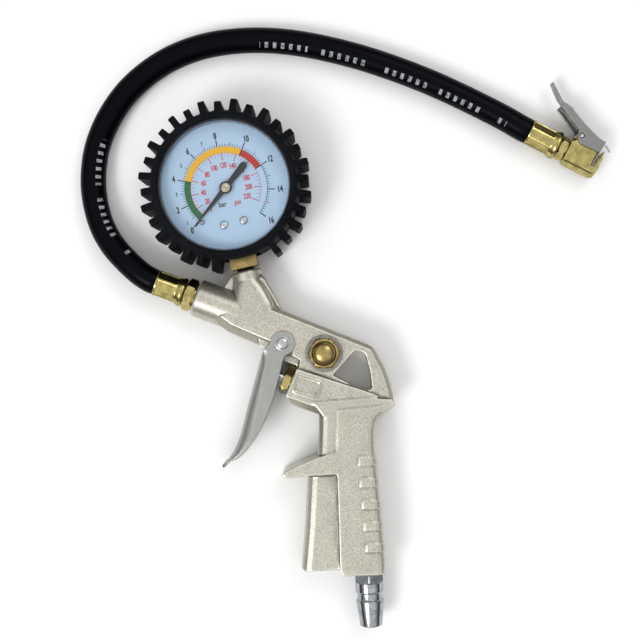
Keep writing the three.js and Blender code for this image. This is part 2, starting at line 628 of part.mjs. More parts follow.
const STOP_PIN = polar(20, 235.6 - DIAL_ANGLE);
part('stop_pin', rod(27, 29.2, 0.5, 'z', 10).translate(...STOP_PIN, 0), 'steel', dialFrame);
part('needle_hub', cut(
  turned([[27.2, 0], [27.2, 1.7], [28.1, 1.7], [28.1, 2.6], [28.4, 2.6], [28.4, 1.4], [29.6, 1.4],
    [29.6, 0]], 'z'),
  rod(26, 29.2, 1.0, 'z', 12),
), 'brass', dialFrame);

function needle() {
  const tail = [[-15.2, 1.1, 0.8], [-15.2, -1.1, 0.8]];
  const blade = outline([...tail, [-7, -1.6], [-2, -1], [2, -1], [24.8, -0.15], [24.8, 0.15],
    [2, 1], [-2, 1], [-7, 1.6]]);
  const pointer = join(plate(blade, 28.7, 29.1), ring(28.7, 29.1, 1.75, 2.6, 'z'));
  return cut(pointer, rod(28, 30, 1.75, 'z')).rotateZ(radians(NEEDLE_REST - DIAL_ANGLE));
}
part('needle', needle(), 'black', dialFrame);

// ---------------------------------------------------------------- hose
const END_A = -20.7;             // the hose's first ferrule starts here, along the barrel

function hoseFitting() {
  return cut(
    join(hexBar(-5.4, -0.9, 14), rod(-1, -GAP, 6.9), rod(-0.5, 9, 4.8), rod(END_A + 2, -5, 2.9)),
    rod(-30, 12, 1.8, 'x', 12),
  );
}
part('hose_fitting_gun_end', hoseFitting(), 'brass', barrel);
part('hose_ferrule_gun_end', cut(
  turned([[END_A, 0], [END_A, 6.1], [END_A + 0.4, 6.4], [-10.2, 6.4], [-9.6, 6.5], [-7.6, 7.3],
    [-6.3, 7.4], [-5.8, 7.0], [-5.8, 0]], 'x', 20),
  rod(END_A - 1, -4, 3.3, 'x', 12),
), 'brass', barrel);

const HOSE_ROUTE = [
  [-35.4, -45.5, 12.5], [-37.6, -44.6, 12.5], [-42.4, -41.6, 12.1], [-50.7, -34.1, 10.7],
  [-57.3, -26.5, 9], [-62.2, -17.9, 7.6], [-65.3, -8, 6.8], [-66.7, 1.6, 6.5],
  [-66.5, 11.2, 6.4], [-64.9, 20.9, 6.4], [-61.5, 30.4, 6.4], [-56.6, 39.6, 6.4],
  [-49.8, 48.8, 6.4], [-41, 57, 6.4], [-30.8, 63.9, 6.4], [-19.8, 68.9, 6.4],
  [-8.5, 72.1, 6.4], [3.2, 73.8, 6.4], [14.2, 74.3, 6.4], [25.7, 73.8, 6.4],
  [38.1, 72.2, 6.4], [50.4, 69.7, 6.4], [62.7, 66.6, 6.4], [75, 62.8, 6.4],
  [87.4, 58.4, 6.4], [99.8, 53.5, 6.4], [112.5, 47.8, 6.4], [125, 41.7, 6.6],
  [137.2, 35.3, 7], [145.7, 30.3, 7.4], [148.25, 29, 7.4],
];
part('hose', wire(HOSE_ROUTE, HOSE_RADIUS, 24, 8), 'rubber');

// ---------------------------------------------------------------- chuck
const BODY_START = 20.5;
const BODY_END = 37.9;
const CHUCK_RADIUS = 7.3;
const CHUCK_TOP = 6.7;
const CHUCK_FLAT = 5.4;          // half width across the body's milled flats
const LEVER_PIVOT = [23.55, 8.83];
const PIN_RADIUS = 1.0;

part('hose_ferrule_chuck_end', cut(
  turned([[0, 0], [0, 6.1], [0.4, 6.4], [12.2, 6.4], [14, 7.1], [15.4, 7.2], [16, 6.8], [16, 0]],
    'x', 20),
  rod(-1, 17, 3.3, 'x', 12),
), 'brass', chuck);
part('hose_fitting_chuck_end', cut(
  join(rod(2, 17, 2.9), hexBar(16.4, 20.2, 10.6), rod(20, 23.6, 4)),
  rod(0, 25, 1.8, 'x', 12),
), 'brass', chuck);

// Round below, and milled flat on top and on both sides above, where the lever runs. A slot lets the
// lever's tooth into the bore.
function chuckBody() {
  const turnedPart = turned([[BODY_START, 0], [BODY_START, 6.8], [BODY_START + 0.5, CHUCK_RADIUS],
    [BODY_END - 1.7, CHUCK_RADIUS], [BODY_END, 6.1], [BODY_END, 0]], 'x', 24);
  const flatFrom = -Math.sqrt(CHUCK_RADIUS ** 2 - CHUCK_FLAT ** 2);
  const milled = [
    box([BODY_START - 1, BODY_END + 1], [CHUCK_TOP, 9], [-9, 9]),
    box([BODY_START - 1, BODY_END + 1], [flatFrom, 9], [CHUCK_FLAT, 9]),
    box([BODY_START - 1, BODY_END + 1], [flatFrom, 9], [-9, -CHUCK_FLAT]),
  ];
  const shoulders = plate(outline([[BODY_START + 0.5, 0], [BODY_END - 0.6, 0],
    [BODY_END - 0.6, CHUCK_TOP], [22.6, CHUCK_TOP], [BODY_START + 0.5, 4.6]]), -CHUCK_FLAT, CHUCK_FLAT);
  const lugOutline = outline([[21.6, 4], [27, 4], [26, 10.9, 1.5], [21.4, 10.9, 1.5]]);
  const lugs = [[-3.3, -1.5], [1.5, 3.3]].map(([low, high]) => plate(lugOutline, low, high));
  const pinHole = rod(-5, 5, PIN_RADIUS + 0.3, 'z', 12).translate(...LEVER_PIVOT, 0);
  return geometryOf([
    rod(BODY_START - 1, 27, 4.3), rod(26, 29, 2, 'x', 12), rod(28.6, BODY_END + 1, 4.8),
    box([33.95, 36.6], [-1.9, 9], [-8, 8]), pinHole,
  ].reduce((left, tool) => left.subtract(solid(tool)),
    union(cut(turnedPart, ...milled), shoulders, ...lugs)));
}
part('chuck_body', chuckBody(), 'brass', chuck);
part('chuck_seal', ring(28.9, 32, 1.7, 4.5), 'seal', chuck);
part('chuck_depressor', turned([[24, 0], [24, 3.4], [25, 3.4], [25, 1.1], [31.4, 1.1], [31.4, 0]],
  'x', 12), 'brass', chuck);

const CHEEK = [5.7, 6.5];        // the lever's cheeks run outside the body's flats

function chuckLever() {
  const top = [[33.8, 11.3], [30.35, 11.95], [23.75, 14.1], [18.55, 16.25], [13.05, 18.95], [8.9, 19.7]];
  const cheek = outline([...top, [8, 17.4], [20, 11.35], [21, 10.8], [22, 6.9, 0.6],
    [24.3, 4.9, 0.8], [34.8, 5.3, 0.4], [35.15, 9], [35.5, 11.4]]);
  const web = outline([...top, [9.3, 18.5], [12.6, 17.9], [18.1, 15.2], [23.4, 13.1], [30.1, 10.95],
    [33.6, 10.3]]);
  const handle = outline([[9.6, 19.9], [6.5, 21.8], [-0.5, 26.9, 0.4], [-1.3, 26.2, 0.4],
    [5.2, 20.7], [9, 18.6]]);
  const jaw = box([34.3, 35.2], [7.2, 9.2], [-CHEEK[1], CHEEK[1]]);
  const tooth = cut(box([34.3, 35.2], [-1.5, 8], [-5.2, 5.2]), rod(34, 36, 3.6));
  const lever = join(plate(cheek, ...CHEEK), plate(cheek, -CHEEK[1], -CHEEK[0]),
    plate(web, -CHEEK[1], CHEEK[1]), plate(handle, -2.6, 2.6), jaw, tooth);
  return cut(lever, rod(-7, 7, PIN_RADIUS + 0.3, 'z', 12).translate(...LEVER_PIVOT, 0));
}
part('chuck_lever', chuckLever(), 'steel', chuck);
part('lever_pin', rod(-6.6, 6.6, PIN_RADIUS, 'z', 12).translate(...LEVER_PIVOT, 0), 'steel', chuck);

// One leg of the spring lies on the body, the other runs out past the mouth under the lever.
function leverSpring() {
  const coil = helix(1.55, -0.8, 0.8, 2.05, 10, 270)
    .map(([x, y, z]) => [LEVER_PIVOT[0] + x, LEVER_PIVOT[1] + y, z]);
  return wire([[18.4, 7.6, -0.8], [21.6, 7.45, -0.8], ...coil, [26.5, 7.75, 0.75],
    [32.6, 9.2, 0.75], [36.7, 10.9, 0.75], [40.2, 8.9, 0.75]], 0.3, 60, 4);
}
part('lever_spring', leverSpring(), 'steel', chuck);

export default inflator;
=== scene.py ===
"""A tyre inflator gun with a dial gauge, lying on its side on a pale floor with its dial up.

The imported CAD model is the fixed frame: +Z is up, and the origin is on the gauge's axis at the back
of its rubber boot. Shapes are written in millimetres, in frames that stand where the CAD's do.
"""
import json
import math

import bmesh
import bpy
import numpy as np
from mathutils import Matrix, Vector


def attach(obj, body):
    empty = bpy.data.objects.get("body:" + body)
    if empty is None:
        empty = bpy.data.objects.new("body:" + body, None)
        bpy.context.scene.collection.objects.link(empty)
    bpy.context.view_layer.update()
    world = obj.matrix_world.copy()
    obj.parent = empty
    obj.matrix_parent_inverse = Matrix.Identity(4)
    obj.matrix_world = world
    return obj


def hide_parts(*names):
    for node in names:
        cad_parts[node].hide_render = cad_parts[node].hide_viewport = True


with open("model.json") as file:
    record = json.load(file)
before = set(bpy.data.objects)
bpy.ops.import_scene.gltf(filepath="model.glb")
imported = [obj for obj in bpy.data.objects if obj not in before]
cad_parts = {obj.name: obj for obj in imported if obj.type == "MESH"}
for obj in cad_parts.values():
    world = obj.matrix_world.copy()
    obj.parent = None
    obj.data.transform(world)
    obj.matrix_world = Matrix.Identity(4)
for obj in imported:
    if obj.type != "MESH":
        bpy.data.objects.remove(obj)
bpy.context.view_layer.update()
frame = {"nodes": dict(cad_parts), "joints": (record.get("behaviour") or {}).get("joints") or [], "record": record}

MM = 0.001
GUN = "gun"                      # the body that everything fixed rides on

# ---------------------------------------------------------------- places, in millimetres
GUN_Z = 12.5                     # height of the gun's middle plane
STEM_ANGLE = -77                 # direction from the gauge to the gun, degrees from +X
PORT_FACE = 41.2                 # distance from the gauge's axis to the face of its port boss
UPPER_FACE = 21.7                # height of the upper body's near face
DIAL_TOP = 26.7
DIAL_CENTRE = (0.4, -1.1)        # the needle's axis, a little off the boot's
DIAL_ANGLE = 8.1                 # how far the dial is turned, degrees
NEEDLE_REST = 231.4              # direction of the needle at zero, degrees from +X
HOSE_RADIUS = 6.25

HOSE_ROUTE = [
    (-0.0354, -0.0455, 0.0125), (-0.0376, -0.0446, 0.0125), (-0.0424, -0.0416, 0.0121),
    (-0.0507, -0.0341, 0.0107), (-0.0573, -0.0265, 0.009), (-0.0622, -0.0179, 0.0076),
    (-0.0653, -0.008, 0.0068), (-0.0667, 0.0016, 0.0065), (-0.0665, 0.0112, 0.0064),
    (-0.0649, 0.0209, 0.0064), (-0.0615, 0.0304, 0.0064), (-0.0566, 0.0396, 0.0064),
    (-0.0498, 0.0488, 0.0064), (-0.041, 0.057, 0.0064), (-0.0308, 0.0639, 0.0064),
    (-0.0198, 0.0689, 0.0064), (-0.0085, 0.0721, 0.0064), (0.0032, 0.0738, 0.0064),
    (0.0142, 0.0743, 0.0064), (0.0257, 0.0738, 0.0064), (0.0381, 0.0722, 0.0064),
    (0.0504, 0.0697, 0.0064), (0.0627, 0.0666, 0.0064), (0.075, 0.0628, 0.0064),
    (0.0874, 0.0584, 0.0064), (0.0998, 0.0535, 0.0064), (0.1125, 0.0478, 0.0064),
    (0.125, 0.0417, 0.0066), (0.1372, 0.0353, 0.007), (0.1457, 0.0303, 0.0074),
    (0.14825, 0.029, 0.0074),
]


def place(x, y, z, degrees=0, tilt=None):
    """A frame at a point in millimetres, turned about Z. With tilt, its X axis then points up."""
    turn = Matrix.Rotation(math.radians(degrees), 4, "Z")
    up = Matrix.Rotation(math.radians(-90), 4, "Y") if tilt else Matrix.Identity(4)
    return Matrix.Translation((x * MM, y * MM, z * MM)) @ turn @ up


def joint_point(name):
    found = next(joint for joint in frame["joints"] if joint["name"] == name)
    return [value / MM for value in found["pos_m"]]


ORIGIN = place(0, 0, 0)
BARREL = place(-15.3, -53.0, GUN_Z, -20.5)
STEM = place(0, 0, GUN_Z, STEM_ANGLE)
VALVE = place(31.5, -94.1, GUN_Z, -21.5)
RELEASE = place(47.3, -80.2, 0, 0, tilt=True)
INLET = place(69.2, -187.4, GUN_Z, -87)
CHUCK = place(148.6, 28.8, 7.4, -27)
PIVOT = place(*joint_point("trigger_hinge")[:2], GUN_Z)
PIVOT_UP = place(*joint_point("trigger_hinge")[:2], GUN_Z, 0, tilt=True)
LEVER_UP = place(*joint_point("chuck_lever_hinge"), 0, tilt=True)
GAUGE_UP = place(0, 0, 0, 0, tilt=True)
DIAL = place(*DIAL_CENTRE, 0)
DIAL_UP = place(*DIAL_CENTRE, 0, 0, tilt=True)


# ---------------------------------------------------------------- camera
VIEW_CENTRE = (0.0454, -0.0642)  # the point under the camera, in metres
CAMERA_HEIGHT = 0.6
FOCAL_LENGTH = 67.44             # for a sensor 36 wide, so that the object fills the frame


def make_camera():
    data = bpy.data.cameras.new("camera")
    data.lens = FOCAL_LENGTH
    data.sensor_width = 36
    data.clip_start = 0.01
    camera = bpy.data.objects.new("camera", data)
    camera.location = (*VIEW_CENTRE, CAMERA_HEIGHT)
    bpy.context.scene.collection.objects.link(camera)
    bpy.context.scene.camera = camera


make_camera()


# ---------------------------------------------------------------- mesh tools
def rounded(points, radius, steps=4):
    """A line of points with its inner corners replaced by curves."""
    points = [Vector(point) for point in points]
    result = [points[0]]
    for before, corner, after in zip(points, points[1:], points[2:]):
        back, ahead = before - corner, after - corner
        reach = min(radius, 0.48 * back.length, 0.48 * ahead.length)
        start = corner + back.normalized() * reach
        end = corner + ahead.normalized() * reach
        for step in range(steps + 1):
            t = step / steps
            result.append(start * (1 - t) ** 2 + corner * 2 * t * (1 - t) + end * t * t)
    result.append(points[-1])
    return [tuple(point) for point in result]


def ring(profile, radius, steps):
    """A profile that comes back to its start, with its other corners rounded."""
    return rounded(profile, radius, steps)[:-1] + [profile[0]]


def lathe(profile, segments=96, shape=None, turn=0.0):
    """A surface turned about X. profile holds (along, radius) pairs, and shape may change a radius.
    The profile starts and ends on the axis, or comes back to its own start. turn is in degrees."""
    closed = profile[0] == profile[-1] and profile[0][1] > 0
    outline = profile[:-1] if closed else profile
    verts, faces, uvs, rows = [], [], [], []
    for along, radius in outline:
        count = 1 if radius < 1e-6 else segments
        rows.append(range(len(verts), len(verts) + count))
        for i in range(count):
            angle = 2 * math.pi * i / segments
            r = shape(along, radius, angle) if shape and radius > 0 else radius
            angle += math.radians(turn)
            verts.append((along, r * math.cos(angle), r * math.sin(angle)))
    pairs = list(zip(rows, rows[1:]))
    if closed:
        pairs.append((rows[-1], rows[0]))
    for a, b in pairs:
        for i in range(segments):
            j = (i + 1) % segments
            corners = [a[i % len(a)], a[j % len(a)], b[j % len(b)], b[i % len(b)]]
            face = list(dict.fromkeys(corners))
            if len(face) > 2:
                faces.append(face)
                around = [i / segments, (i + 1) / segments, (i + 1) / segments, i / segments]
                uvs.append([(around[corners.index(c)], verts[c][0] * MM) for c in face])
    return verts, faces, uvs


def hexagon(low, high, flats, sides=6, ridge=0.0):
    """A shape for lathe that cuts flats between two places along the axis. ridge is how many degrees
    beside each corner stay round."""
    sector = 2 * math.pi / sides

    def shape(along, radius, angle):
        local = (angle + sector / 2) % sector - sector / 2
        rounded_corner = sector / 2 - abs(local) < math.radians(ridge)
        if rounded_corner or not low <= along <= high:
            return radius
        return min(radius, flats / 2 / math.cos(local))
    return shape


def prism(outline, low, high):
    """A flat outline in X and Y given thickness along Z."""
    count = len(outline)
    verts = [(x, y, z) for z in (low, high) for x, y in outline]
    sides = [[i, (i + 1) % count, (i + 1) % count + count, i + count] for i in range(count)]
    return verts, [list(range(count))[::-1], list(range(count, 2 * count))] + sides, None


def box(x, y, z):
    return prism([(x[0], y[0]), (x[1], y[0]), (x[1], y[1]), (x[0], y[1])], *z)


def between(p, q, low, high, t):
    """The place at t on a line that passes p at low and q at high."""
    return p * ((high - t) / (high - low)) + q * ((t - low) / (high - low))


def spline(points, per_span=8):
    """A smooth line through points, with each span's speed set by the points' spacing."""
    points = [Vector(point) for point in points]
    ends = [2 * points[0] - points[1], *points, 2 * points[-1] - points[-2]]
    result = []
    for p0, p1, p2, p3 in zip(ends, ends[1:], ends[2:], ends[3:]):
        times = [0.0]
        for a, b in ((p0, p1), (p1, p2), (p2, p3)):
            times.append(times[-1] + max((b - a).length, 1e-9) ** 0.5)
        t0, t1, t2, t3 = times
        for step in range(per_span):
            t = t1 + (t2 - t1) * step / per_span
            middle = between(p1, p2, t1, t2, t)
            near = between(between(p0, p1, t0, t1, t), middle, t0, t2, t)
            far = between(middle, between(p2, p3, t2, t3, t), t1, t3, t)
            result.append(between(near, far, t1, t2, t))
    return result + [points[-1]]


def tube(path, radii, sides=24):
    """A round tube along a path, closed at its ends. UVs give the turn and the distance along."""
    path = [Vector(point) for point in path]
    radii = radii if isinstance(radii, list) else [radii] * len(path)
    tangents = [(b - a).normalized() for a, b in zip([path[0], *path], [*path[1:], path[-1]])]
    tangents = [t if t.length > 0 else (path[1] - path[0]).normalized() for t in tangents]
    across = tangents[0].orthogonal().normalized()
    if abs(tangents[0].z) < 0.9:
        across = Vector((0, 0, 1)).cross(tangents[0]).normalized()
    verts, faces, uvs, along = [], [], [], [0.0]
    for i, (point, tangent) in enumerate(zip(path, tangents)):
        if i:
            across = (across - tangent * across.dot(tangent)).normalized()
            along.append(along[-1] + (point - path[i - 1]).length)
        up = tangent.cross(across)
        for k in range(sides):
            angle = 2 * math.pi * k / sides
            offset = across * math.cos(angle) + up * math.sin(angle)
            verts.append(tuple(point + offset * radii[i]))
    for i in range(len(path) - 1):
        for k in range(sides):
            j = (k + 1) % sides
            faces.append([i * sides + k, i * sides + j, (i + 1) * sides + j, (i + 1) * sides + k])
            u0, u1 = k / sides, (k + 1) / sides
            uvs.append([(u0, along[i]), (u1, along[i]), (u1, along[i + 1]), (u0, along[i + 1])])
    last = (len(path) - 1) * sides
    for ring in (range(sides - 1, -1, -1), range(last, last + sides)):
        faces.append(list(ring))
        uvs.append([(0, 0)] * sides)
    return verts, faces, uvs


def helix(radius, low, high, turns, per_turn=16, start=0.0):
    """Points along Z of a coil spring, in millimetres."""
    count = round(turns * per_turn)
    angles = [math.radians(start) + 2 * math.pi * turns * i / count for i in range(count + 1)]
    return [(radius * math.cos(a), radius * math.sin(a), low + (high - low) * i / count)
            for i, a in enumerate(angles)]


def merged(*geometries):
    """Several shapes as one, each still closed."""
    verts, faces, uvs = [], [], []
    for geometry in geometries:
        start = len(verts)
        verts += geometry[0]
        faces += [[start + i for i in face] for face in geometry[1]]
        uvs += geometry[2] or [[(0, 0)] * len(face) for face in geometry[1]]
    return verts, faces, uvs


def moved(geometry, matrix):
    return [tuple(matrix @ Vector(v)) for v in geometry[0]], geometry[1], geometry[2]


def to_mesh(name, geometry, where=ORIGIN):
    """A Blender mesh of a shape in millimetres, standing in a frame."""
    verts, faces, uvs = geometry
    mesh = bpy.data.meshes.new(name)
    mesh.from_pydata([where @ (Vector(v) * MM) for v in verts], [], faces)
    if uvs:
        layer = mesh.uv_layers.new(name="UVMap")
        layer.data.foreach_set("uv", [c for face in uvs for corner in face for c in corner])
    built = bmesh.new()
    built.from_mesh(mesh)
    bmesh.ops.recalc_face_normals(built, faces=built.faces)
    built.to_mesh(mesh)
    built.free()
    return mesh


def shade(mesh, sharp=35):
    """Smooth shading with edges sharper than an angle kept."""
    mesh.polygons.foreach_set("use_smooth", [True] * len(mesh.polygons))
    mesh.set_sharp_from_angle(angle=math.radians(sharp))


def evaluated(thing):
    """An object's mesh with its modifiers applied. The object is then removed."""
    graph = bpy.context.evaluated_depsgraph_get()
    mesh = bpy.data.meshes.new_from_object(thing.evaluated_get(graph))
    bpy.data.objects.remove(thing)
    return mesh


def linked(name, mesh):
    thing = bpy.data.objects.new(name, mesh)
    bpy.context.scene.collection.objects.link(thing)
    return thing


def bevelled(mesh, width, segments, angle=30):
    """A mesh with its edges sharper than an angle cut back. width is in millimetres."""
    thing = linked("bevelled", mesh)
    edge = thing.modifiers.new("edge", "BEVEL")
    edge.width = width * MM
    edge.segments = segments
    edge.limit_method = "ANGLE"
    edge.angle_limit = math.radians(angle)
    return evaluated(thing)


def carved(mesh, cutters, operation="DIFFERENCE"):
    """A mesh with other closed meshes cut out of it, or added to it."""
    base = linked("base", mesh)
    tools = [linked(f"tool_{i}", cutter) for i, cutter in enumerate(cutters)]
    for tool in tools:
        cut = base.modifiers.new(tool.name, "BOOLEAN")
        cut.operation = operation
        cut.solver = "EXACT"
        cut.use_self = True
        cut.object = tool
    result = evaluated(base)
    for tool in tools:
        bpy.data.objects.remove(tool)
    return result


def softened(mesh, voxel, smoothing, most_faces):
    """A mesh made anew on a fine grid, which joins its solids and rounds edges and inner corners.
    An attribute named cavity says how far each point stands proud of its surroundings."""
    thing = linked("remeshed", mesh)
    grid = thing.modifiers.new("grid", "REMESH")
    grid.mode = "VOXEL"
    grid.voxel_size = voxel * MM
    smooth = thing.modifiers.new("smooth", "SMOOTH")
    smooth.factor = 0.5
    smooth.iterations = smoothing
    result = evaluated(thing)
    count = 2 * len(result.polygons)
    if count > most_faces:
        thing = linked("thinned", result)
        thin = thing.modifiers.new("thin", "DECIMATE")
        thin.ratio = most_faces / count
        result = evaluated(thing)
    mark_cavities(result)
    result.polygons.foreach_set("use_smooth", [True] * len(result.polygons))
    return result


def values_of(items, attribute, width, kind=float):
    values = np.zeros(len(items) * width, kind)
    items.foreach_get(attribute, values)
    return values.reshape(-1, width)


def mark_cavities(mesh, rounds=12):
    """Each point's height over its blurred surroundings, in tenths of a millimetre."""
    count = len(mesh.vertices)
    points = values_of(mesh.vertices, "co", 3)
    normals = values_of(mesh.vertices, "normal", 3)
    a, b = values_of(mesh.edges, "vertices", 2, int).T
    weight = np.maximum(np.bincount(a, minlength=count) + np.bincount(b, minlength=count), 1)
    blurred = points.copy()
    for _ in range(rounds):
        total = np.zeros_like(blurred)
        for axis in range(3):
            total[:, axis] = (np.bincount(a, blurred[b, axis], count)
                              + np.bincount(b, blurred[a, axis], count))
        blurred = 0.5 * blurred + 0.5 * total / weight[:, None]
    proud = np.sum((points - blurred) * normals, axis=1) / (0.1 * MM)
    layer = mesh.attributes.new("cavity", "FLOAT", "POINT")
    layer.data.foreach_set("value", proud.astype(np.float32))


def finished(built):
    mesh = bpy.data.meshes.new("built")
    built.to_mesh(mesh)
    built.free()
    return mesh


def cad_copy(node):
    """A new mesh of a CAD node, with its split corners joined."""
    built = bmesh.new()
    built.from_mesh(frame["nodes"][node].data)
    bmesh.ops.remove_doubles(built, verts=built.verts, dist=1e-6)
    return finished(built)


def joined(*meshes):
    built = bmesh.new()
    for mesh in meshes:
        built.from_mesh(mesh)
    return finished(built)


# ---------------------------------------------------------------- material tools
def scaled(colour, factor):
    return [min(1.0, channel * factor) for channel in colour]


def fill_ramp(ramp, stops):
    """stops are (position, colour or number) pairs."""
    while len(ramp.elements) < len(stops):
        ramp.elements.new(0.5)
    for element, (position, colour) in zip(ramp.elements, stops):
        element.position = position
        grey = not hasattr(colour, "__len__")
        element.color = (colour, colour, colour, 1) if grey else (*colour, 1)


class Nodes:
    """A short way to write a material's node tree."""

    def __init__(self, name):
        self.material = bpy.data.materials.new(name)
        self.material.use_nodes = True
        self.tree = self.material.node_tree
        self.shader = self.tree.nodes["Principled BSDF"]
        self.output = self.tree.nodes["Material Output"]

    def add(self, kind, inputs=None, **settings):
        node = self.tree.nodes.new(kind)
        for key, value in settings.items():
            setattr(node, key, value)
        for key, value in (inputs or {}).items():
            self.set(node.inputs[key], value)
        return node

    def set(self, socket, value):
        if isinstance(value, bpy.types.NodeSocket):
            self.tree.links.new(value, socket)
        else:
            socket.default_value = value

    def surface(self, **values):
        names = {"color": "Base Color", "metal": "Metallic", "rough": "Roughness", "normal": "Normal",
                 "specular": "Specular IOR Level"}
        for key, value in values.items():
            self.set(self.shader.inputs[names[key]], value)

    def point(self):
        return self.add("ShaderNodeTexCoord").outputs["Object"]

    def noise(self, scale, detail=3.0, rough=0.55, where=None):
        node = self.add("ShaderNodeTexNoise", {"Scale": scale, "Detail": detail, "Roughness": rough,
                                               "Vector": where or self.point()})
        return node.outputs["Fac"]

    def ramp(self, value, *stops):
        node = self.add("ShaderNodeValToRGB", {"Fac": value})
        fill_ramp(node.color_ramp, stops)
        return node.outputs["Color"]

    def remap(self, value, low, high, to_low, to_high):
        """A value carried from one range to another, and held inside it."""
        node = self.add("ShaderNodeMapRange", {"Value": value, "From Min": low, "From Max": high,
                                               "To Min": to_low, "To Max": to_high})
        return node.outputs[0]

    def mix(self, factor, first, second, blend="MIX"):
        node = self.add("ShaderNodeMix", data_type="RGBA", blend_type=blend)
        self.set(node.inputs[0], factor)
        for socket, value in ((node.inputs[6], first), (node.inputs[7], second)):
            is_colour = hasattr(value, "__len__")
            self.set(socket, (*value, 1) if is_colour else value)
        return node.outputs[2]

    def math(self, operation, first, second=0.0):
        node = self.add("ShaderNodeMath", operation=operation)
        for socket, value in zip(node.inputs, (first, second)):
            self.set(socket, value)
        return node.outputs[0]

    def bump(self, height, strength, distance):
        node = self.add("ShaderNodeBump", {"Height": height, "Strength": strength,
                                           "Distance": distance * MM})
        return node.outputs["Normal"]


def shaped_wear(m, colour, dark, light, hollow, edge):
    """Painted shade with some grime darkens the hollows, and a painted highlight brightens the proud
    edges, from the attribute that softened() leaves. hollow and edge say where each begins, where it
    is full, and how strong it then is."""
    cavity = m.add("ShaderNodeAttribute", attribute_name="cavity").outputs["Fac"]
    # painted shade with some grime in the hollows
    colour = m.mix(m.remap(cavity, *hollow[:2], 0.0, hollow[2]), colour, dark)
    # painted highlight on the proud edges
    return m.mix(m.remap(cavity, *edge[:2], 0.0, edge[2]), colour, light)


def cast_metal(name, base, light, dark, rough, grain):
    """Satin die casting: fine sparkle, faint clouding, painted shade with some grime in the hollows and a painted
    highlight on the proud edges.
    """
    m = Nodes(name)
    speckle = m.noise(1.0 / (grain * MM), 2.0, 0.7)
    clouds = m.noise(90, 3.0)
    colour = m.mix(m.ramp(speckle, (0.40, 0.0), (0.60, 1.0)), dark, light)
    colour = m.mix(0.62, base, colour)
    cloudiness = m.math("MULTIPLY", m.ramp(clouds, (0.35, 0.0), (0.7, 1.0)), 0.16)
    colour = m.mix(cloudiness, colour, scaled(dark, 0.82))
    # Painted shade with some grime darkens the hollows; a painted highlight brightens the proud edges.
    colour = shaped_wear(m, colour, scaled(dark, 0.25), scaled(light, 1.25), (-0.25, -1.6, 0.75),
                         (0.5, 2.2, 0.5))
    roughness = m.remap(speckle, 0.3, 0.7, rough - 0.07, rough + 0.09)
    m.surface(color=colour, metal=0.75, rough=roughness, normal=m.bump(speckle, 0.35, 0.05))
    return m.material


def turned_metal(name, bright, deep, rough, lines=0.25):
    """Metal from a lathe: fine rings round the axis, and faint tarnish."""
    m = Nodes(name)
    uv = m.add("ShaderNodeTexCoord").outputs["UV"]
    along = m.add("ShaderNodeMapping", {"Vector": uv, "Scale": (2.0, 1.0, 1.0)}).outputs[0]
    rings = m.noise(6000, 2.0, 0.7, along)
    tarnish = m.noise(260, 4.0)
    colour = m.mix(m.ramp(tarnish, (0.38, 0.0), (0.66, 1.0)), bright, deep)
    spots = m.ramp(m.noise(1500, 2.0), (0.66, 0.0), (0.74, 1.0))
    colour = m.mix(m.math("MULTIPLY", spots, 0.15), colour, scaled(deep, 0.5))
    roughness = m.remap(tarnish, 0.3, 0.75, rough, rough + 0.14)
    m.surface(color=colour, metal=1.0, rough=roughness, normal=m.bump(rings, lines, 0.02))
    return m.material


def sheet_metal(name, bright, deep, rough):
    """Rolled and plated sheet, with soft scuffs, painted shade with some grime in its hollows and a painted
    highlight on its edges.
    """
    m = Nodes(name)
    stretch = m.add("ShaderNodeMapping", {"Vector": m.point(), "Scale": (1.0, 4.0, 1.0)}).outputs[0]
    grain = m.noise(1400, 3.0, 0.6, stretch)
    scuffs = m.noise(180, 4.0)
    colour = m.mix(m.ramp(grain, (0.3, 0.0), (0.7, 1.0)), bright, deep)
    # Painted shade with some grime darkens the hollows; a painted highlight brightens the edges.
    colour = shaped_wear(m, colour, scaled(deep, 0.3), scaled(bright, 1.3), (-0.4, -1.8, 0.7),
                         (0.4, 1.8, 0.6))
    roughness = m.remap(scuffs, 0.3, 0.7, rough - 0.06, rough + 0.1)
    m.surface(color=colour, metal=1.0, rough=roughness, normal=m.bump(grain, 0.12, 0.02))
    return m.material


def moulded_rubber(name, colour, rough, grain, depth):
    """Black rubber, with a soft sheen of bloom."""
    m = Nodes(name)
    fine = m.noise(1.0 / (grain * MM), 3.0, 0.6)
    bloom = m.noise(70, 3.0)
    tint = m.mix(m.ramp(bloom, (0.35, 0.0), (0.75, 1.0)), colour, [c * 1.8 + 0.001 for c in colour])
    roughness = m.remap(bloom, 0.3, 0.7, rough, rough + 0.12)
    m.surface(color=tint, rough=roughness, normal=m.bump(fine, 0.4, depth), specular=0.05)
    return m.material


MARK_PITCH = 0.0041              # distances along the hose, in metres
WORD_PITCH = 0.031
MARKED_STRETCHES = ((0.055, 0.035), (0.250, 0.066))     # the middle and half the length of each


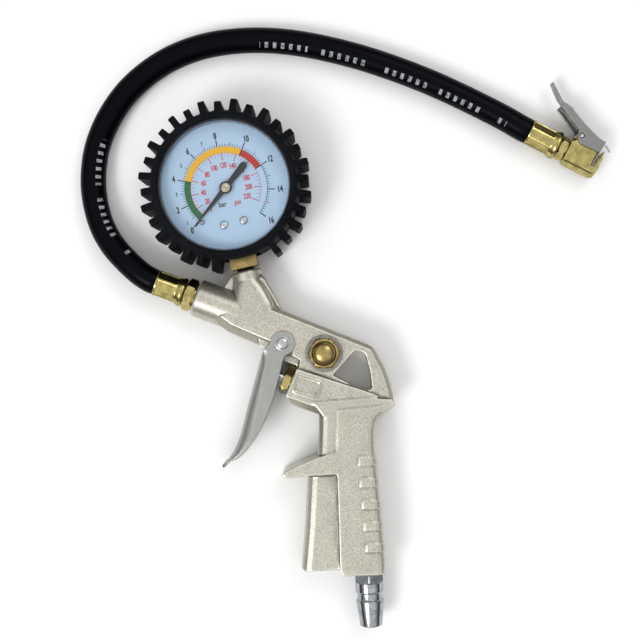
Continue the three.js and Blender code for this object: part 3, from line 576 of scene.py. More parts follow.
def printed_hose(name):
    """Black hose with a broken line of small pale printed marks along one side."""
    m = Nodes(name)
    uv = m.add("ShaderNodeTexCoord").outputs["UV"]
    split = m.add("ShaderNodeSeparateXYZ", {"Vector": uv})
    turn, along = split.outputs[0], split.outputs[1]
    off_centre = m.math("ABSOLUTE", m.math("SUBTRACT", turn, 0.36))
    band = m.math("LESS_THAN", off_centre, 0.038)
    pitch = m.math("FRACT", m.math("MULTIPLY", along, 1 / MARK_PITCH))
    stroke = m.math("LESS_THAN", pitch, 0.42)
    word = m.math("FRACT", m.math("MULTIPLY", along, 1 / WORD_PITCH))
    spaced = m.math("LESS_THAN", word, 0.78)
    stretches = [m.math("LESS_THAN", m.math("ABSOLUTE", m.math("SUBTRACT", along, middle)), half)
                 for middle, half in MARKED_STRETCHES]
    printed_here = m.math("MULTIPLY", spaced, m.math("MAXIMUM", *stretches))
    mark = m.math("MULTIPLY", m.math("MULTIPLY", band, stroke), printed_here)
    wear = m.ramp(m.noise(900, 3.0), (0.35, 0.25), (0.55, 1.0))
    mark = m.math("MULTIPLY", mark, wear)
    fine = m.noise(1500, 2.0)
    colour = m.mix(m.math("MULTIPLY", mark, 0.75), (0.0012, 0.0016, 0.003), (0.50, 0.52, 0.56))
    roughness = m.remap(m.noise(120, 3.0), 0.3, 0.7, 0.26, 0.38)
    m.surface(color=colour, rough=roughness, normal=m.bump(fine, 0.15, 0.03), specular=0.05)
    return m.material


def enamel(name, colour, rough=0.5, shade_by=0.93):
    """Printed or painted metal with a barely uneven coat."""
    m = Nodes(name)
    uneven = m.noise(300, 3.0)
    tint = m.mix(m.ramp(uneven, (0.3, 0.0), (0.7, 1.0)), colour, scaled(colour, shade_by))
    m.surface(color=tint, rough=rough, normal=m.bump(m.noise(2500, 2.0), 0.1, 0.01))
    return m.material


def clear_window(name, tint, haze, shine):
    """Clear moulded plastic: see-through, with reflections that grow at grazing angles."""
    m = Nodes(name)
    m.tree.nodes.remove(m.shader)
    through = m.add("ShaderNodeBsdfTransparent", {"Color": (*tint, 1)})
    gloss = m.add("ShaderNodeBsdfGlossy", {"Color": (1, 1, 1, 1), "Roughness": 0.05})
    body = m.add("ShaderNodeBsdfDiffuse", {"Color": (0.62, 0.68, 0.76, 1)})
    fresnel = m.add("ShaderNodeFresnel", {"IOR": 1.45}).outputs[0]
    faint = m.math("MULTIPLY", m.noise(60, 2.0), 0.01)
    hazy = m.add("ShaderNodeMixShader", {"Fac": m.math("ADD", faint, haze)})
    m.tree.links.new(through.outputs[0], hazy.inputs[1])
    m.tree.links.new(body.outputs[0], hazy.inputs[2])
    mixed = m.add("ShaderNodeMixShader", {"Fac": m.math("MULTIPLY", fresnel, shine)})
    m.tree.links.new(hazy.outputs[0], mixed.inputs[1])
    m.tree.links.new(gloss.outputs[0], mixed.inputs[2])
    m.tree.links.new(mixed.outputs[0], m.output.inputs["Surface"])
    return m.material


CAST = cast_metal("cast_body", (0.50, 0.48, 0.41), (0.66, 0.635, 0.55), (0.33, 0.315, 0.26), 0.33, 0.55)
TRIGGER = cast_metal("trigger_metal", (0.34, 0.35, 0.33), (0.40, 0.41, 0.385), (0.28, 0.29, 0.27), 0.34,
                     0.42)
STEEL = turned_metal("steel", (0.58, 0.59, 0.60), (0.42, 0.43, 0.44), 0.2)
CHROME = turned_metal("chromed_steel", (0.44, 0.46, 0.48), (0.27, 0.29, 0.31), 0.08, 0.12)
LEVER = sheet_metal("lever_steel", (0.27, 0.275, 0.265), (0.18, 0.185, 0.18), 0.3)
WASHER = turned_metal("washer_steel", (0.30, 0.29, 0.26), (0.20, 0.19, 0.17), 0.3)
BRASS = turned_metal("brass", (0.52, 0.44, 0.17), (0.30, 0.25, 0.09), 0.16)
AGED_BRASS = turned_metal("aged_brass", (0.30, 0.24, 0.10), (0.17, 0.135, 0.06), 0.22)
CHAMPAGNE = turned_metal("hub_metal", (0.52, 0.46, 0.34), (0.40, 0.35, 0.25), 0.3)
BRONZE = turned_metal("bronze", (0.42, 0.31, 0.12), (0.22, 0.17, 0.07), 0.24)
BOOT = moulded_rubber("boot_rubber", (0.0035, 0.004, 0.0055), 0.5, 0.35, 0.05)
SEAL = moulded_rubber("seal_rubber", (0.006, 0.006, 0.006), 0.4, 0.3, 0.02)
HOSE = printed_hose("hose_rubber")
BLACK = enamel("black_metal", (0.012, 0.012, 0.013), 0.35)
FACE = enamel("dial_face", (0.42, 0.56, 0.70), 0.55, 0.97)
INK_BLACK = enamel("ink_black", (0.018, 0.018, 0.022), 0.5)
INK_RED = enamel("ink_red", (0.55, 0.045, 0.06), 0.5)
INK_GREEN = enamel("ink_green", (0.010, 0.13, 0.035), 0.5)
INK_YELLOW = enamel("ink_yellow", (0.80, 0.42, 0.008), 0.5)
BAND_RED = enamel("band_red", (0.48, 0.020, 0.014), 0.5)
WINDOW = clear_window("clear_lens", (0.98, 0.99, 1.0), 0.0, 0.12)
SKIRT = clear_window("lens_edge", (0.62, 0.70, 0.82), 0.25, 0.5)

SLOTS = {"cast_body": CAST, "trigger_metal": TRIGGER, "steel": STEEL, "chromed_steel": CHROME,
         "brass": BRASS, "bronze": BRONZE, "boot_rubber": BOOT, "hose_rubber": HOSE,
         "seal_rubber": SEAL, "black_metal": BLACK, "dial_face": FACE, "clear_lens": WINDOW}


def dress_cad_nodes():
    """Every CAD node gets the finish of its slot, so that those still showing have one."""
    for entry in frame["record"]["subparts"]:
        thing = frame["nodes"][entry["node"]]
        thing.data.materials.clear()
        thing.data.materials.append(SLOTS[entry["material_slot"]])


dress_cad_nodes()


def piece(name, mesh, body, material, slot, *nodes):
    """A finished piece on its body, standing for CAD nodes where any are named."""
    thing = linked(name, mesh)
    mesh.materials.clear()
    mesh.materials.append(material)
    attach(thing, body)
    if nodes:
        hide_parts(*nodes)
    return thing


def turned_piece(name, geometry, where, body, material, slot, *nodes):
    mesh = to_mesh(name, geometry, where)
    shade(mesh)
    return piece(name, mesh, body, material, slot, *nodes)


def run_on(before, point, distance):
    """The place a distance past a point, on the line that comes to it from another."""
    return Vector(point) + (Vector(point) - Vector(before)).normalized() * distance


def make_hose():
    """The rubber narrows where each ferrule grips it."""
    inside = 2.2 * MM
    start = run_on(HOSE_ROUTE[1], HOSE_ROUTE[0], inside)
    end = run_on(HOSE_ROUTE[-2], HOSE_ROUTE[-1], inside)
    path = spline([start, *HOSE_ROUTE, end], 8)
    full = HOSE_RADIUS * MM
    grip = 0.9 * full
    radii = [full] * len(path)
    for side in (range(len(path)), range(len(path) - 1, -1, -1)):
        distance, last = 0.0, None
        for i in side:
            distance += (path[i] - last).length if last else 0.0
            last = path[i]
            share = min(1.0, distance / (3.4 * MM))
            radii[i] = min(radii[i], grip + (full - grip) * share ** 0.5)
    verts, faces, uvs = tube(path, radii, 40)
    mesh = to_mesh("hose_rubber_tube", ([tuple(Vector(v) / MM) for v in verts], faces, uvs))
    shade(mesh, 50)
    hose = piece("hose_rubber_tube", mesh, GUN, HOSE, "hose_rubber", "hose")
    return hose, path


def ferrule(name, node, where, start, crimp_end, shoulder, end, turn):
    """A crimped brass sleeve with a mouth for the hose, eight flats and a rounded shoulder."""
    profile = [(start + 3.2, 3.4), (start + 3.0, 5.75), (start + 0.5, 6.0), (start, 6.12), (start + 0.1, 6.5),
               (start + 0.7, 6.58), (crimp_end, 6.58), (crimp_end + 0.6, 6.5), (shoulder, 7.15),
               (end - 1.1, 7.35), (end - 0.2, 7.0), (end, 6.5), (end, 3.4), (start + 3.2, 3.4)]
    crimp = hexagon(start + 0.8, crimp_end + 0.3, 12.0, sides=8, ridge=4)
    geometry = lathe(ring(profile, 0.35, 3), 144, crimp, turn)
    return turned_piece(name, geometry, where, GUN, BRASS, "brass", node)


def make_hose_fittings():
    ferrule("ferrule_gun_end", "hose_ferrule_gun_end", BARREL, -20.7, -10.3, -8.0, -5.9, 4.0)
    ferrule("ferrule_chuck_end", "hose_ferrule_chuck_end", CHUCK, 0.0, 11.8, 14.0, 16.0, 11.0)
    nut = [(-18.6, 0), (-18.6, 2.9), (-5.5, 2.9), (-5.4, 7.0), (-5.0, 7.75), (-4.6, 8.05), (-1.7, 8.05),
           (-1.2, 7.75), (-0.9, 7.0), (-0.8, 6.9), (-0.35, 6.9), (-0.3, 4.8), (9, 4.8), (9, 0)]
    turned_piece("fitting_gun_end", lathe(rounded(nut, 0.12, 2), 144, hexagon(-5.45, -0.85, 14), 30),
                 BARREL, GUN, BRASS, "brass", "hose_fitting_gun_end")
    neck = [(2, 0), (2, 2.9), (16.3, 2.9), (16.4, 5.3), (16.8, 5.8), (17.3, 6.1), (19.3, 6.1), (19.8, 5.8),
            (20.2, 5.3), (20.3, 4.0), (23.6, 4.0), (23.6, 0)]
    turned_piece("fitting_chuck_end", lathe(rounded(neck, 0.12, 2), 144, hexagon(16.35, 20.25, 10.6), 30),
                 CHUCK, GUN, BRASS, "brass", "hose_fitting_chuck_end")


hose, hose_path = make_hose()
make_hose_fittings()


# ---------------------------------------------------------------- gun body
BADGE_HALF = 11.4                # height of the frame on the valve block, from the middle plane
BOSS_RADIUS = 7.65               # of the gauge's boss, where it is round
SWELL_START = 46                 # distances from the gauge's axis
SWELL_LENGTH = 14


def swelling(along, radius, angle):
    """The gauge's boss goes from round to nearly square where it meets the flat upper body."""
    share = min(1.0, max(0.0, (along - SWELL_START) / SWELL_LENGTH))
    if radius < 7 or not share:
        return radius
    power = 2 + 3 * share
    across = abs(math.cos(angle)) / (BOSS_RADIUS + 2.6 * share)
    up = abs(math.sin(angle)) / (BOSS_RADIUS + 1.6 * share)
    return (across ** power + up ** power) ** (-1 / power)


def make_gun_body():
    """The CAD body cast anew, with truly round bosses for its barrel and its gauge port."""
    barrel = lathe([(6, 5.6), (0.15, 5.6), (0, 8.3), (1.0, 9.3), (24, 9.3), (30, 8.6), (30, 5.6), (6, 5.6)],
                   128)
    boss = lathe([(PORT_FACE + 8, 5.2), (PORT_FACE + 0.1, 5.2), (PORT_FACE, 6.9),
                  (PORT_FACE + 0.8, BOSS_RADIUS), *[(SWELL_START + 1.5 * i, BOSS_RADIUS) for i in range(13)],
                  (64, 5.2), (PORT_FACE + 8, 5.2)], 128, swelling)
    whole = joined(cad_copy("gun_body"), to_mesh("barrel", barrel, BARREL), to_mesh("boss", boss, STEM))
    mesh = softened(whole, 0.4, 2, 170000)
    piece("cast_gun_body", mesh, GUN, CAST, "cast_body", "gun_body")
    height = GUN_Z + BADGE_HALF
    corners = [(34.1, -90.45, height), (45.9, -93.95, height), (43.95, -102.05, height),
               (32.5, -98.55, height)]
    loop = rounded([*corners, corners[0], corners[1]], 1.5, 5)[1:-1]
    rim = to_mesh("badge_rim", tube([*loop, loop[0], loop[1]], 0.3, 10))
    shade(rim)
    piece("cast_badge_rim", rim, GUN, CAST, "cast_body")


def make_inlet_plug():
    profile = [(-11.5, 3.2), (-11.5, 5.4), (0.3, 5.4), (0.3, 6.7), (0.75, 7.7), (4.2, 7.7), (5.0, 6.95),
               (5.4, 6.9), (9.5, 6.9), (9.9, 6.15), (13.1, 6.15), (13.6, 6.75), (14.8, 6.7), (20.2, 6.15),
               (25.9, 5.5), (26.6, 4.7), (26.6, 3.5), (26.3, 3.2), (-11.5, 3.2)]
    geometry = lathe(ring(profile, 0.25, 3), 144, hexagon(0.2, 5.05, 13.6))
    turned_piece("air_inlet_plug", geometry, INLET, GUN, CHROME, "chromed_steel", "inlet_plug")


make_gun_body()
make_inlet_plug()


# ---------------------------------------------------------------- trigger
CHEEK_OUTER = 10.9               # half the trigger's width
WALL = 1.45
WEB_TOP = -4.5                   # the web starts this far below the pivot
START_SLOPE = math.radians(18)   # how steeply the nose leaves the cheek at the crease


def make_trigger():
    """A channel swept from the pivot to the tip: two flat cheeks, and a rounded nose that starts at a
    crease in front of each and joins them below the eye."""
    front = spline([(-5.4, 0.6, 0), (-7.6, -1.4, 0), (-9.6, -4.6, 0), (-12.4, -14, 0), (-16.6, -29.4, 0),
                    (-20.9, -45.5, 0), (-25.2, -54.7, 0), (-29.4, -59.4, 0)], 6)
    crease = spline([(-4.0, 0.2, 0), (-5.5, -1.6, 0), (-6.7, -5.0, 0), (-9.0, -14, 0), (-11.7, -29, 0),
                     (-15.7, -45, 0), (-22.2, -54.3, 0), (-29.0, -59.2, 0)], 6)
    back = spline([(3.9, 0.2, 0), (4.0, -3.2, 0), (0.9, -6.6, 0), (-1.1, -14, 0), (-5.2, -28.6, 0),
                   (-12.5, -45, 0), (-20.2, -54.6, 0), (-28.6, -59.0, 0)], 6)
    slopes = [START_SLOPE + math.radians(12 * step) for step in range(1, 7)]
    rows = []
    for i, (near, fold, far) in enumerate(zip(front, crease, back)):
        share = i / (len(front) - 1)
        half = CHEEK_OUTER - 2.6 * max(0.0, (share - 0.72) / 0.28) ** 1.6
        drop = min(5.2, 1.5 * (near - fold).length) * min(1.0, max(0.0, (-3.0 - near.y) / 6))
        section = [far + Vector((0, 0, half)), fold + Vector((0, 0, half))]
        for slope in slopes:
            forward = (math.sin(slope) - math.sin(START_SLOPE)) / (1 - math.sin(START_SLOPE))
            point = fold.lerp(near, forward)
            point.z = half - drop * (1 - math.cos(slope) / math.cos(START_SLOPE))
            section.append(point)
        section += [near + Vector((0, 0, (half - drop) * t)) for t in (0.66, 0.33)]
        rows.append(section + [near] + [Vector((p.x, p.y, -p.z)) for p in reversed(section)])
    # The web starts below the eye, so the first rows keep only their cheeks.
    width = len(rows[0])
    verts = [tuple(v) for row in rows for v in row]
    faces = []
    for i in range(len(rows) - 1):
        for k in range(width - 1):
            is_web = 6 < k < width - 8
            if is_web and rows[i][k].y > WEB_TOP:
                continue
            here, below = i * width + k, (i + 1) * width + k
            faces.append([here, here + 1, below + 1, below])
    surface = to_mesh("trigger_shell", (verts, faces, None), PIVOT)
    cheek_face = max(surface.polygons, key=lambda face: face.center.z)
    if cheek_face.normal.z < 0:
        surface.flip_normals()
    shell = linked("trigger_shell", surface)
    wall = shell.modifiers.new("wall", "SOLIDIFY")
    wall.thickness = WALL * MM
    wall.offset = -1
    eyes = [to_mesh("eye", lathe([(low, 0), (low, 5.9), (low + WALL, 5.9), (low + WALL, 0)], 96), PIVOT_UP)
            for low in (CHEEK_OUTER - WALL, -CHEEK_OUTER)]
    bore = to_mesh("bore", lathe([(-14, 0), (-14, 2.45), (14, 2.45), (14, 0)], 48), PIVOT_UP)
    whole = carved(evaluated(shell), eyes, "UNION")
    mesh = softened(whole, 0.25, 2, 90000)
    mesh = carved(mesh, [bore])
    mesh.polygons.foreach_set("use_smooth", [True] * len(mesh.polygons))
    piece("squeeze_trigger", mesh, "trigger", TRIGGER, "trigger_metal", "trigger")


def make_rivet():
    head = CHEEK_OUTER + 0.15
    dome = [(head, 3.5), (head + 0.35, 3.5), (head + 0.4, 2.95), (head + 0.75, 2.7), (head + 1.2, 1.7),
            (head + 1.42, 0)]
    profile = [(-x, r) for x, r in reversed(dome)] + [(-head, 2.2), (head, 2.2)] + dome
    turned_piece("pivot_rivet", lathe(rounded(profile, 0.2, 3), 72), PIVOT_UP, GUN, STEEL, "steel",
                 "trigger_rivet")


make_trigger()
make_rivet()


# ---------------------------------------------------------------- valves
def make_inflation_valve():
    nut = [(8, 2.5), (-4.4, 2.5), (-4.4, 6.3), (-4.1, 7.1), (-3.5, 7.62), (-0.9, 7.62), (-0.5, 7.3),
           (-0.3, 6.6), (-0.3, 5.4), (8, 5.4), (8, 2.5)]
    turned_piece("valve_gland_nut", lathe(nut, 144, hexagon(-4.45, -0.25, 13.2), 42), VALVE, GUN,
                 AGED_BRASS, "brass", "valve_nut")
    stem = [(-13.6, 0), (-13.6, 1.2), (-12.8, 2.1), (8.4, 2.1), (8.4, 1.2), (12.6, 1.2), (12.6, 0)]
    turned_piece("valve_push_stem", lathe(rounded(stem, 0.3, 3), 48), VALVE, "valve", STEEL, "steel",
                 "valve_stem")
    coil = [(z, x, y) for x, y, z in helix(3.2, 16.9, 34.6, 4.5)]
    turned_piece("valve_return_spring", tube(coil, 0.5, 10), VALVE, GUN, STEEL, "steel", "valve_spring")


def make_release_valve():
    low, high = UPPER_FACE + 0.2, UPPER_FACE + 1.5
    section = [(low, 6.5), (low, 9.0), (high, 9.0), (high, 6.5), (low, 6.5)]
    washer = to_mesh("washer", lathe(ring(section, 0.35, 4), 128), RELEASE)
    split = to_mesh("split", box((1.0, 1.8), (5, 10), (low - 1, high + 1)), place(47.3, -80.2, 0, -4))
    washer = carved(washer, [split])
    shade(washer)
    piece("split_lock_washer", washer, GUN, WASHER, "steel", "release_lock_washer")
    flange, top = UPPER_FACE + 1.8, UPPER_FACE + 5.6
    body = [(10, 3.4), (10, 6), (flange, 6), (flange, 8.08), (top - 1.4, 8.08), (top - 0.6, 7.6),
            (top, 6.7), (top, 5.95), (top - 0.5, 5.75), (UPPER_FACE - 1, 5.75), (UPPER_FACE - 1, 3.4),
            (10, 3.4)]
    turned_piece("release_valve_body", lathe(body, 144, hexagon(flange - 0.05, top + 0.05, 14)),
                 RELEASE, GUN, BRONZE, "brass", "release_bushing")
    rise = [(UPPER_FACE + 6.2, 5.4), (UPPER_FACE + 7.0, 5.15), (UPPER_FACE + 7.9, 4.2),
            (UPPER_FACE + 8.5, 2.7), (UPPER_FACE + 8.75, 1.3), (UPPER_FACE + 8.8, 0)]
    button = [(10.4, 0), (10.4, 1.5), (UPPER_FACE + 1.4, 1.5), (UPPER_FACE + 1.4, 5.4), *rise]
    turned_piece("release_push_button", lathe(rounded(button, 0.7, 4), 96), RELEASE, "release",
                 BRONZE, "brass", "release_button")
    coil = [(z, x, y) for x, y, z in helix(2.4, 12.6, UPPER_FACE + 0.6, 4)]
    turned_piece("release_return_spring", tube(coil, 0.4, 10), RELEASE, GUN, STEEL, "steel",
                 "release_spring")


make_inflation_valve()
make_release_valve()


# ---------------------------------------------------------------- gauge boot and window
LUG_COUNT = 32
LUG_PITCH = 360 / LUG_COUNT
FIRST_TALL = 186.25              # direction of a tall lug, clockwise from the top
LUG_HEIGHTS = (41.4, 40.2)       # radii of the tall and the low lugs, by turns


def lug(outer, clockwise):
    """One tread lug: its top slopes down from the lip, and its outer corners are rounded."""
    profile = rounded([(33.9, 0.5), (outer - 1.4, 0.5), (outer, 2.2), (outer, 30.0), (outer - 1.2, 31.4),
                       (34.9, 33.7), (33.9, 33.7)], 0.9, 3)
    solid = prism(profile, -1.7, 1.7)
    upright = Matrix.Rotation(math.radians(90), 4, "X")
    mesh = to_mesh("lug", moved(solid, Matrix.Rotation(math.radians(90 - clockwise), 4, "Z") @ upright))
    return bevelled(mesh, 0.35, 2, 50)


def make_boot():
    cup = [(0, 0), (0, 33.5), (1.5, 35.5), (31.4, 35.5), (34.2, 34.5), (35, 33.6), (35, 32.0),
           (34.4, 31.4), (33.3, 31.4), (33.3, 33.2), (2.5, 33.2), (2.5, 0)]
    meshes = [to_mesh("cup", lathe(rounded(cup, 0.6, 4), 160), GAUGE_UP)]
    stem_clockwise = 90 - STEM_ANGLE
    for i in range(LUG_COUNT):
        angle = FIRST_TALL - LUG_PITCH * i
        if abs(angle - stem_clockwise) > 1.5 * LUG_PITCH:
            meshes.append(lug(LUG_HEIGHTS[i % 2], angle))
    notch = to_mesh("notch", box((30, 45), (-8.6, 8.6), (2.5 - GUN_Z, 13.5)), STEM)
    mesh = softened(carved(joined(*meshes), [notch]), 0.36, 2, 160000)
    piece("lugged_rubber_boot", mesh, GUN, BOOT, "boot_rubber", "rubber_boot")


def make_window():
    """A moulded lens: a domed disc with a clear skirt that stands on the dial."""
    disc = [(31.0, 0), (31.0, 29.9), (30.9, 30.4), (30.9, 31.6), (32.3, 31.6), (32.45, 30.6), (32.1, 30.0),
            (32.15, 20), (32.2, 0)]
    turned_piece("clear_window", lathe(rounded(disc, 0.2, 3), 160), GAUGE_UP, GUN, WINDOW, "clear_lens",
                 "lens")
    skirt = [(27.2, 30.3), (27.2, 30.9), (30.6, 30.9), (30.6, 30.3), (27.2, 30.3)]
    turned_piece("window_skirt", lathe(skirt, 160), GAUGE_UP, GUN, SKIRT, "clear_lens", "lens_gasket")


def make_socket():
    """The gauge's square brass shank, with chamfered ends and softened corners."""
    half = 6.7
    shank = box((30, 39.9), (-half, half), (-half, half))
    inner = box((14, 31), (-half, half), (-6.5, 5.5))
    whole = joined(*(to_mesh("socket", shape, STEM) for shape in (shank, inner)))
    mesh = softened(whole, 0.22, 3, 40000)
    piece("gauge_socket_shank", mesh, GUN, BRONZE, "brass", "gauge_socket")
    thread = [(39, 0), (39, 4.2), (PORT_FACE + 9.5, 4.2), (PORT_FACE + 9.5, 0)]
    turned_piece("gauge_socket_thread", lathe(thread, 64), STEM, GUN, SEAL, "brass")


make_boot()
make_window()
make_socket()


# ---------------------------------------------------------------- dial
BAND = (16.9, 19.9)              # radii of the coloured band
PRINT_TOP = DIAL_TOP + 0.03
FIRST_BAR = 227.5                # directions clockwise from the top, degrees
ZERO_BAR = 218.1
PER_BAR = 17.2                   # degrees
PSI_PER_BAR = 14.504
TEXT_TILT = 10.0
PRINT_DEPTH = 0.02


def bar_angle(bar):
    """The scale is squeezed below 1 bar."""
    if bar < 1:
        return ZERO_BAR + (FIRST_BAR - ZERO_BAR) * bar
    return FIRST_BAR + PER_BAR * (bar - 1)


def at(radius, clockwise):
    angle = math.radians(90 - clockwise)
    return radius * math.cos(angle), radius * math.sin(angle)


def arc(inner, outer, start, end):
    """A band of the scale."""
    steps = max(2, math.ceil((end - start) / 2))
    angles = [start + (end - start) * i / steps for i in range(steps + 1)]
    return merged(*(prism([at(inner, b), at(outer, b), at(outer, a), at(inner, a)], PRINT_TOP,
                          PRINT_TOP + PRINT_DEPTH) for a, b in zip(angles, angles[1:])))


def tick(inner, outer, clockwise, width, lift=0.0):
    x0, y0 = at(inner, clockwise)
    x1, y1 = at(outer, clockwise)
    side = Vector((y1 - y0, x0 - x1)).normalized() * width / 2
    corners = [(x0 + side.x, y0 + side.y), (x1 + side.x, y1 + side.y),
               (x1 - side.x, y1 - side.y), (x0 - side.x, y0 - side.y)]
    return prism(corners, PRINT_TOP + lift, PRINT_TOP + lift + PRINT_DEPTH)


def lettering(text, size, x, y, heavy=0.0, narrow=0.72):
    """Printed characters, centred at a point of the dial, as a mesh in metres. narrow scales them
    across, and heavy is how far their strokes are thickened to each side."""
    curve = bpy.data.curves.new("print", "FONT")
    curve.body = text
    curve.size = size * MM
    curve.align_x = "CENTER"
    curve.align_y = "CENTER"
    curve.extrude = 0.01 * MM
    curve.resolution_u = 3
    mesh = evaluated(linked("print", curve))
    turn = Matrix.Rotation(math.radians(TEXT_TILT), 4, "Z") @ Matrix.Scale(narrow, 4, (1, 0, 0))
    copies = []
    for i in range(8):
        # The strokes are thickened by printing the line several times, each a little aside.
        aside = Matrix.Rotation(math.radians(45 * i), 4, "Z") @ Vector((heavy, 0, 0))
        layer = PRINT_TOP + 0.01 + 0.002 * i
        spot = Matrix.Translation(((x + aside.x) * MM, (y + aside.y) * MM, layer * MM))
        copies.append(mesh.copy())
        copies[-1].transform(spot @ turn)
    return joined(*copies)


def printed(name, material, *meshes):
    mesh = joined(*meshes)
    mesh.transform(DIAL)
    piece(name, mesh, GUN, material, "dial_face")


def make_dial():
    plate = [(DIAL_TOP - 0.8, 0), (DIAL_TOP - 0.8, 30.6), (DIAL_TOP, 30.6), (DIAL_TOP, 0.8),
             (DIAL_TOP - 0.2, 0)]
    turned_piece("dial_disc", lathe(plate, 160), GAUGE_UP, GUN, FACE, "dial_face", "dial_plate")

    def band(name, start, end, material):
        geometry = arc(*BAND, bar_angle(start), bar_angle(end))
        printed(name, material, to_mesh(name, geometry))

    band("scale_band_low", 0, 4, INK_GREEN)
    band("scale_band_middle", 4, 10, INK_YELLOW)
    band("scale_band_high", 10, 12, BAND_RED)

    black = [arc(BAND[1] - 0.12, BAND[1] + 0.12, bar_angle(12), bar_angle(16))]
    for step in range(81):
        bar = step / 5
        if 0 < step < 5:
            continue
        if step % 10 == 0:
            starts_in = bar in (4, 10, 12)
            black.append(tick(BAND[0] if starts_in else BAND[1], 23.4, bar_angle(bar), 0.5, 0.02))
        elif step % 5 == 0:
            black.append(tick(BAND[1], 22.0, bar_angle(bar), 0.3, 0.02))
        else:
            black.append(tick(BAND[1], 21.2, bar_angle(bar), 0.24, 0.02))
    black.append(tick(BAND[1], 21.2, 0.5 * (ZERO_BAR + FIRST_BAR), 0.24, 0.02))
    even = {0: 26.0, 14: 25.9, 16: 26.6}
    numbers = [lettering(str(bar), 4.3, *at(even.get(bar, 25.3), bar_angle(bar)), 0.13, 0.62)
               for bar in range(0, 17, 2)]
    small = [lettering(str(bar), 2.8, *at(24.8 if bar == 1 else 23.8, bar_angle(bar)), 0.05)
             for bar in (1, 3, 5, 7)]
    words = [lettering("bar", 3.6, -1.6, -7.9, 0.07, 0.8)]
    printed("scale_bar", INK_BLACK, to_mesh("scale", merged(*black)), *numbers, *small, *words)

    red = [arc(BAND[0] - 0.15, BAND[0], bar_angle(0), bar_angle(220 / PSI_PER_BAR))]
    for psi in range(0, 221, 5):
        angle = bar_angle(psi / PSI_PER_BAR)
        inner = 13.4 if psi % 20 == 0 else 14.7 if psi % 10 == 0 else 15.4
        red.append(tick(inner, BAND[0], angle, 0.4 if psi % 20 == 0 else 0.2))
    numbers = [lettering(str(psi), 3.6, *at(10.9, bar_angle(psi / PSI_PER_BAR)), 0.10, 0.64)
               for psi in range(20, 221, 20)]
    zero = lettering("0", 2.6, *at(12.6, bar_angle(0) - 4), 0.04, 0.7)
    printed("scale_psi", INK_RED, to_mesh("scale", merged(*red)), *numbers, zero,
            lettering("psi", 3.6, 5.6, -6.7, 0.07, 0.8))


def make_dial_hardware():
    """Screws, the stop pin, and the boss pressed in the plate under the screws."""
    tilt = STEM_ANGLE + 90
    patch = [(-7.9, -19.6), (7.9, -19.6), (7.9, -14.2), (-7.9, -14.2)]
    outline = rounded([*patch, patch[0], patch[1]], 2.4, 6)[1:-1]
    under = DIAL @ place(0, 0, 0, tilt)
    mesh = bevelled(to_mesh("patch", prism(outline, DIAL_TOP - 0.1, DIAL_TOP + 0.16), under), 0.14, 3)
    shade(mesh, 60)
    piece("dial_raised_pad", mesh, GUN, FACE, "dial_face")
    for i, x in enumerate((-4.8, 4.8)):
        head = [(22.6, 0), (22.6, 0.8), (DIAL_TOP + 0.25, 0.8), (DIAL_TOP + 0.25, 1.95),
                (DIAL_TOP + 0.75, 1.95), (DIAL_TOP + 1.15, 1.3), (DIAL_TOP + 1.25, 0)]
        screw = to_mesh("screw", lathe(rounded(head, 0.3, 3), 48), under @ place(x, -17, 0, 0, tilt=True))
        slots = [to_mesh("slot", box((-1.25, 1.25), (-0.22, 0.22), (DIAL_TOP + 0.8, DIAL_TOP + 2)),
                         under @ place(x, -17, 0, 35 + 20 * i + turn)) for turn in (0, 90)]
        screw = carved(screw, slots)
        shade(screw)
        piece(f"dial_fixing_screw_{i + 1}", screw, GUN, STEEL, "brass", f"dial_screw_{i + 1}")
    pin = [(DIAL_TOP - 0.2, 0), (DIAL_TOP - 0.2, 1.3), (DIAL_TOP + 0.7, 1.3), (DIAL_TOP + 1.3, 0.9),
           (DIAL_TOP + 1.45, 0.45), (DIAL_TOP + 2.3, 0.4), (DIAL_TOP + 2.4, 0)]
    x, y = at(20, 214.4)
    turned_piece("needle_stop", lathe(rounded(pin, 0.25, 3), 40), DIAL @ place(x, y, 0, 0, tilt=True), GUN,
                 STEEL, "steel", "stop_pin")


def make_needle():
    tail = [(-2.2, 1.2), (-8, 1.45), (-13.2, 1.72)]
    end = [(-13.5 + 1.72 * math.cos(math.radians(a)), 1.72 * math.sin(math.radians(a)))
           for a in range(100, 261, 16)]
    upper = [(24.8, 0.12), (22, 0.3), (2.2, 1.25)] + tail
    lower = [(x, -y) for x, y in reversed(upper)]
    blade = prism(upper + end + lower, 28.7, 29.05)
    collar = moved(lathe(rounded([(28.65, 1.7), (28.65, 3.0), (29.25, 3.0), (29.3, 1.7), (28.65, 1.7)],
                                 0.15, 3), 64), Matrix.Rotation(math.radians(-90), 4, "Y"))
    whole = joined(to_mesh("blade", blade, DIAL @ place(0, 0, 0, NEEDLE_REST)),
                   to_mesh("collar", collar, DIAL))
    mesh = bevelled(whole, 0.1, 2)
    shade(mesh)
    piece("pointer_needle", mesh, "pointer", BLACK, "black_metal", "needle")
    hub = [(27.2, 0), (27.2, 1.6), (28.9, 1.6), (28.9, 2.3), (29.35, 2.3), (29.6, 1.9), (29.6, 1.0),
           (29.45, 0.75), (29.45, 0.5), (29.6, 0.35), (29.6, 0)]
    turned_piece("pointer_hub", lathe(rounded(hub, 0.12, 3), 64), DIAL_UP, "pointer", CHAMPAGNE,
                 "brass", "needle_hub")


make_dial()
make_dial_hardware()
make_needle()


# ---------------------------------------------------------------- chuck
CHUCK_RADIUS = 7.3
CHUCK_TOP = 6.7
CHUCK_FLAT = 5.4                 # half width across the milled flats
BODY_START, BODY_END = 20.5, 37.9
LEVER_PIVOT = (23.55, 8.83)


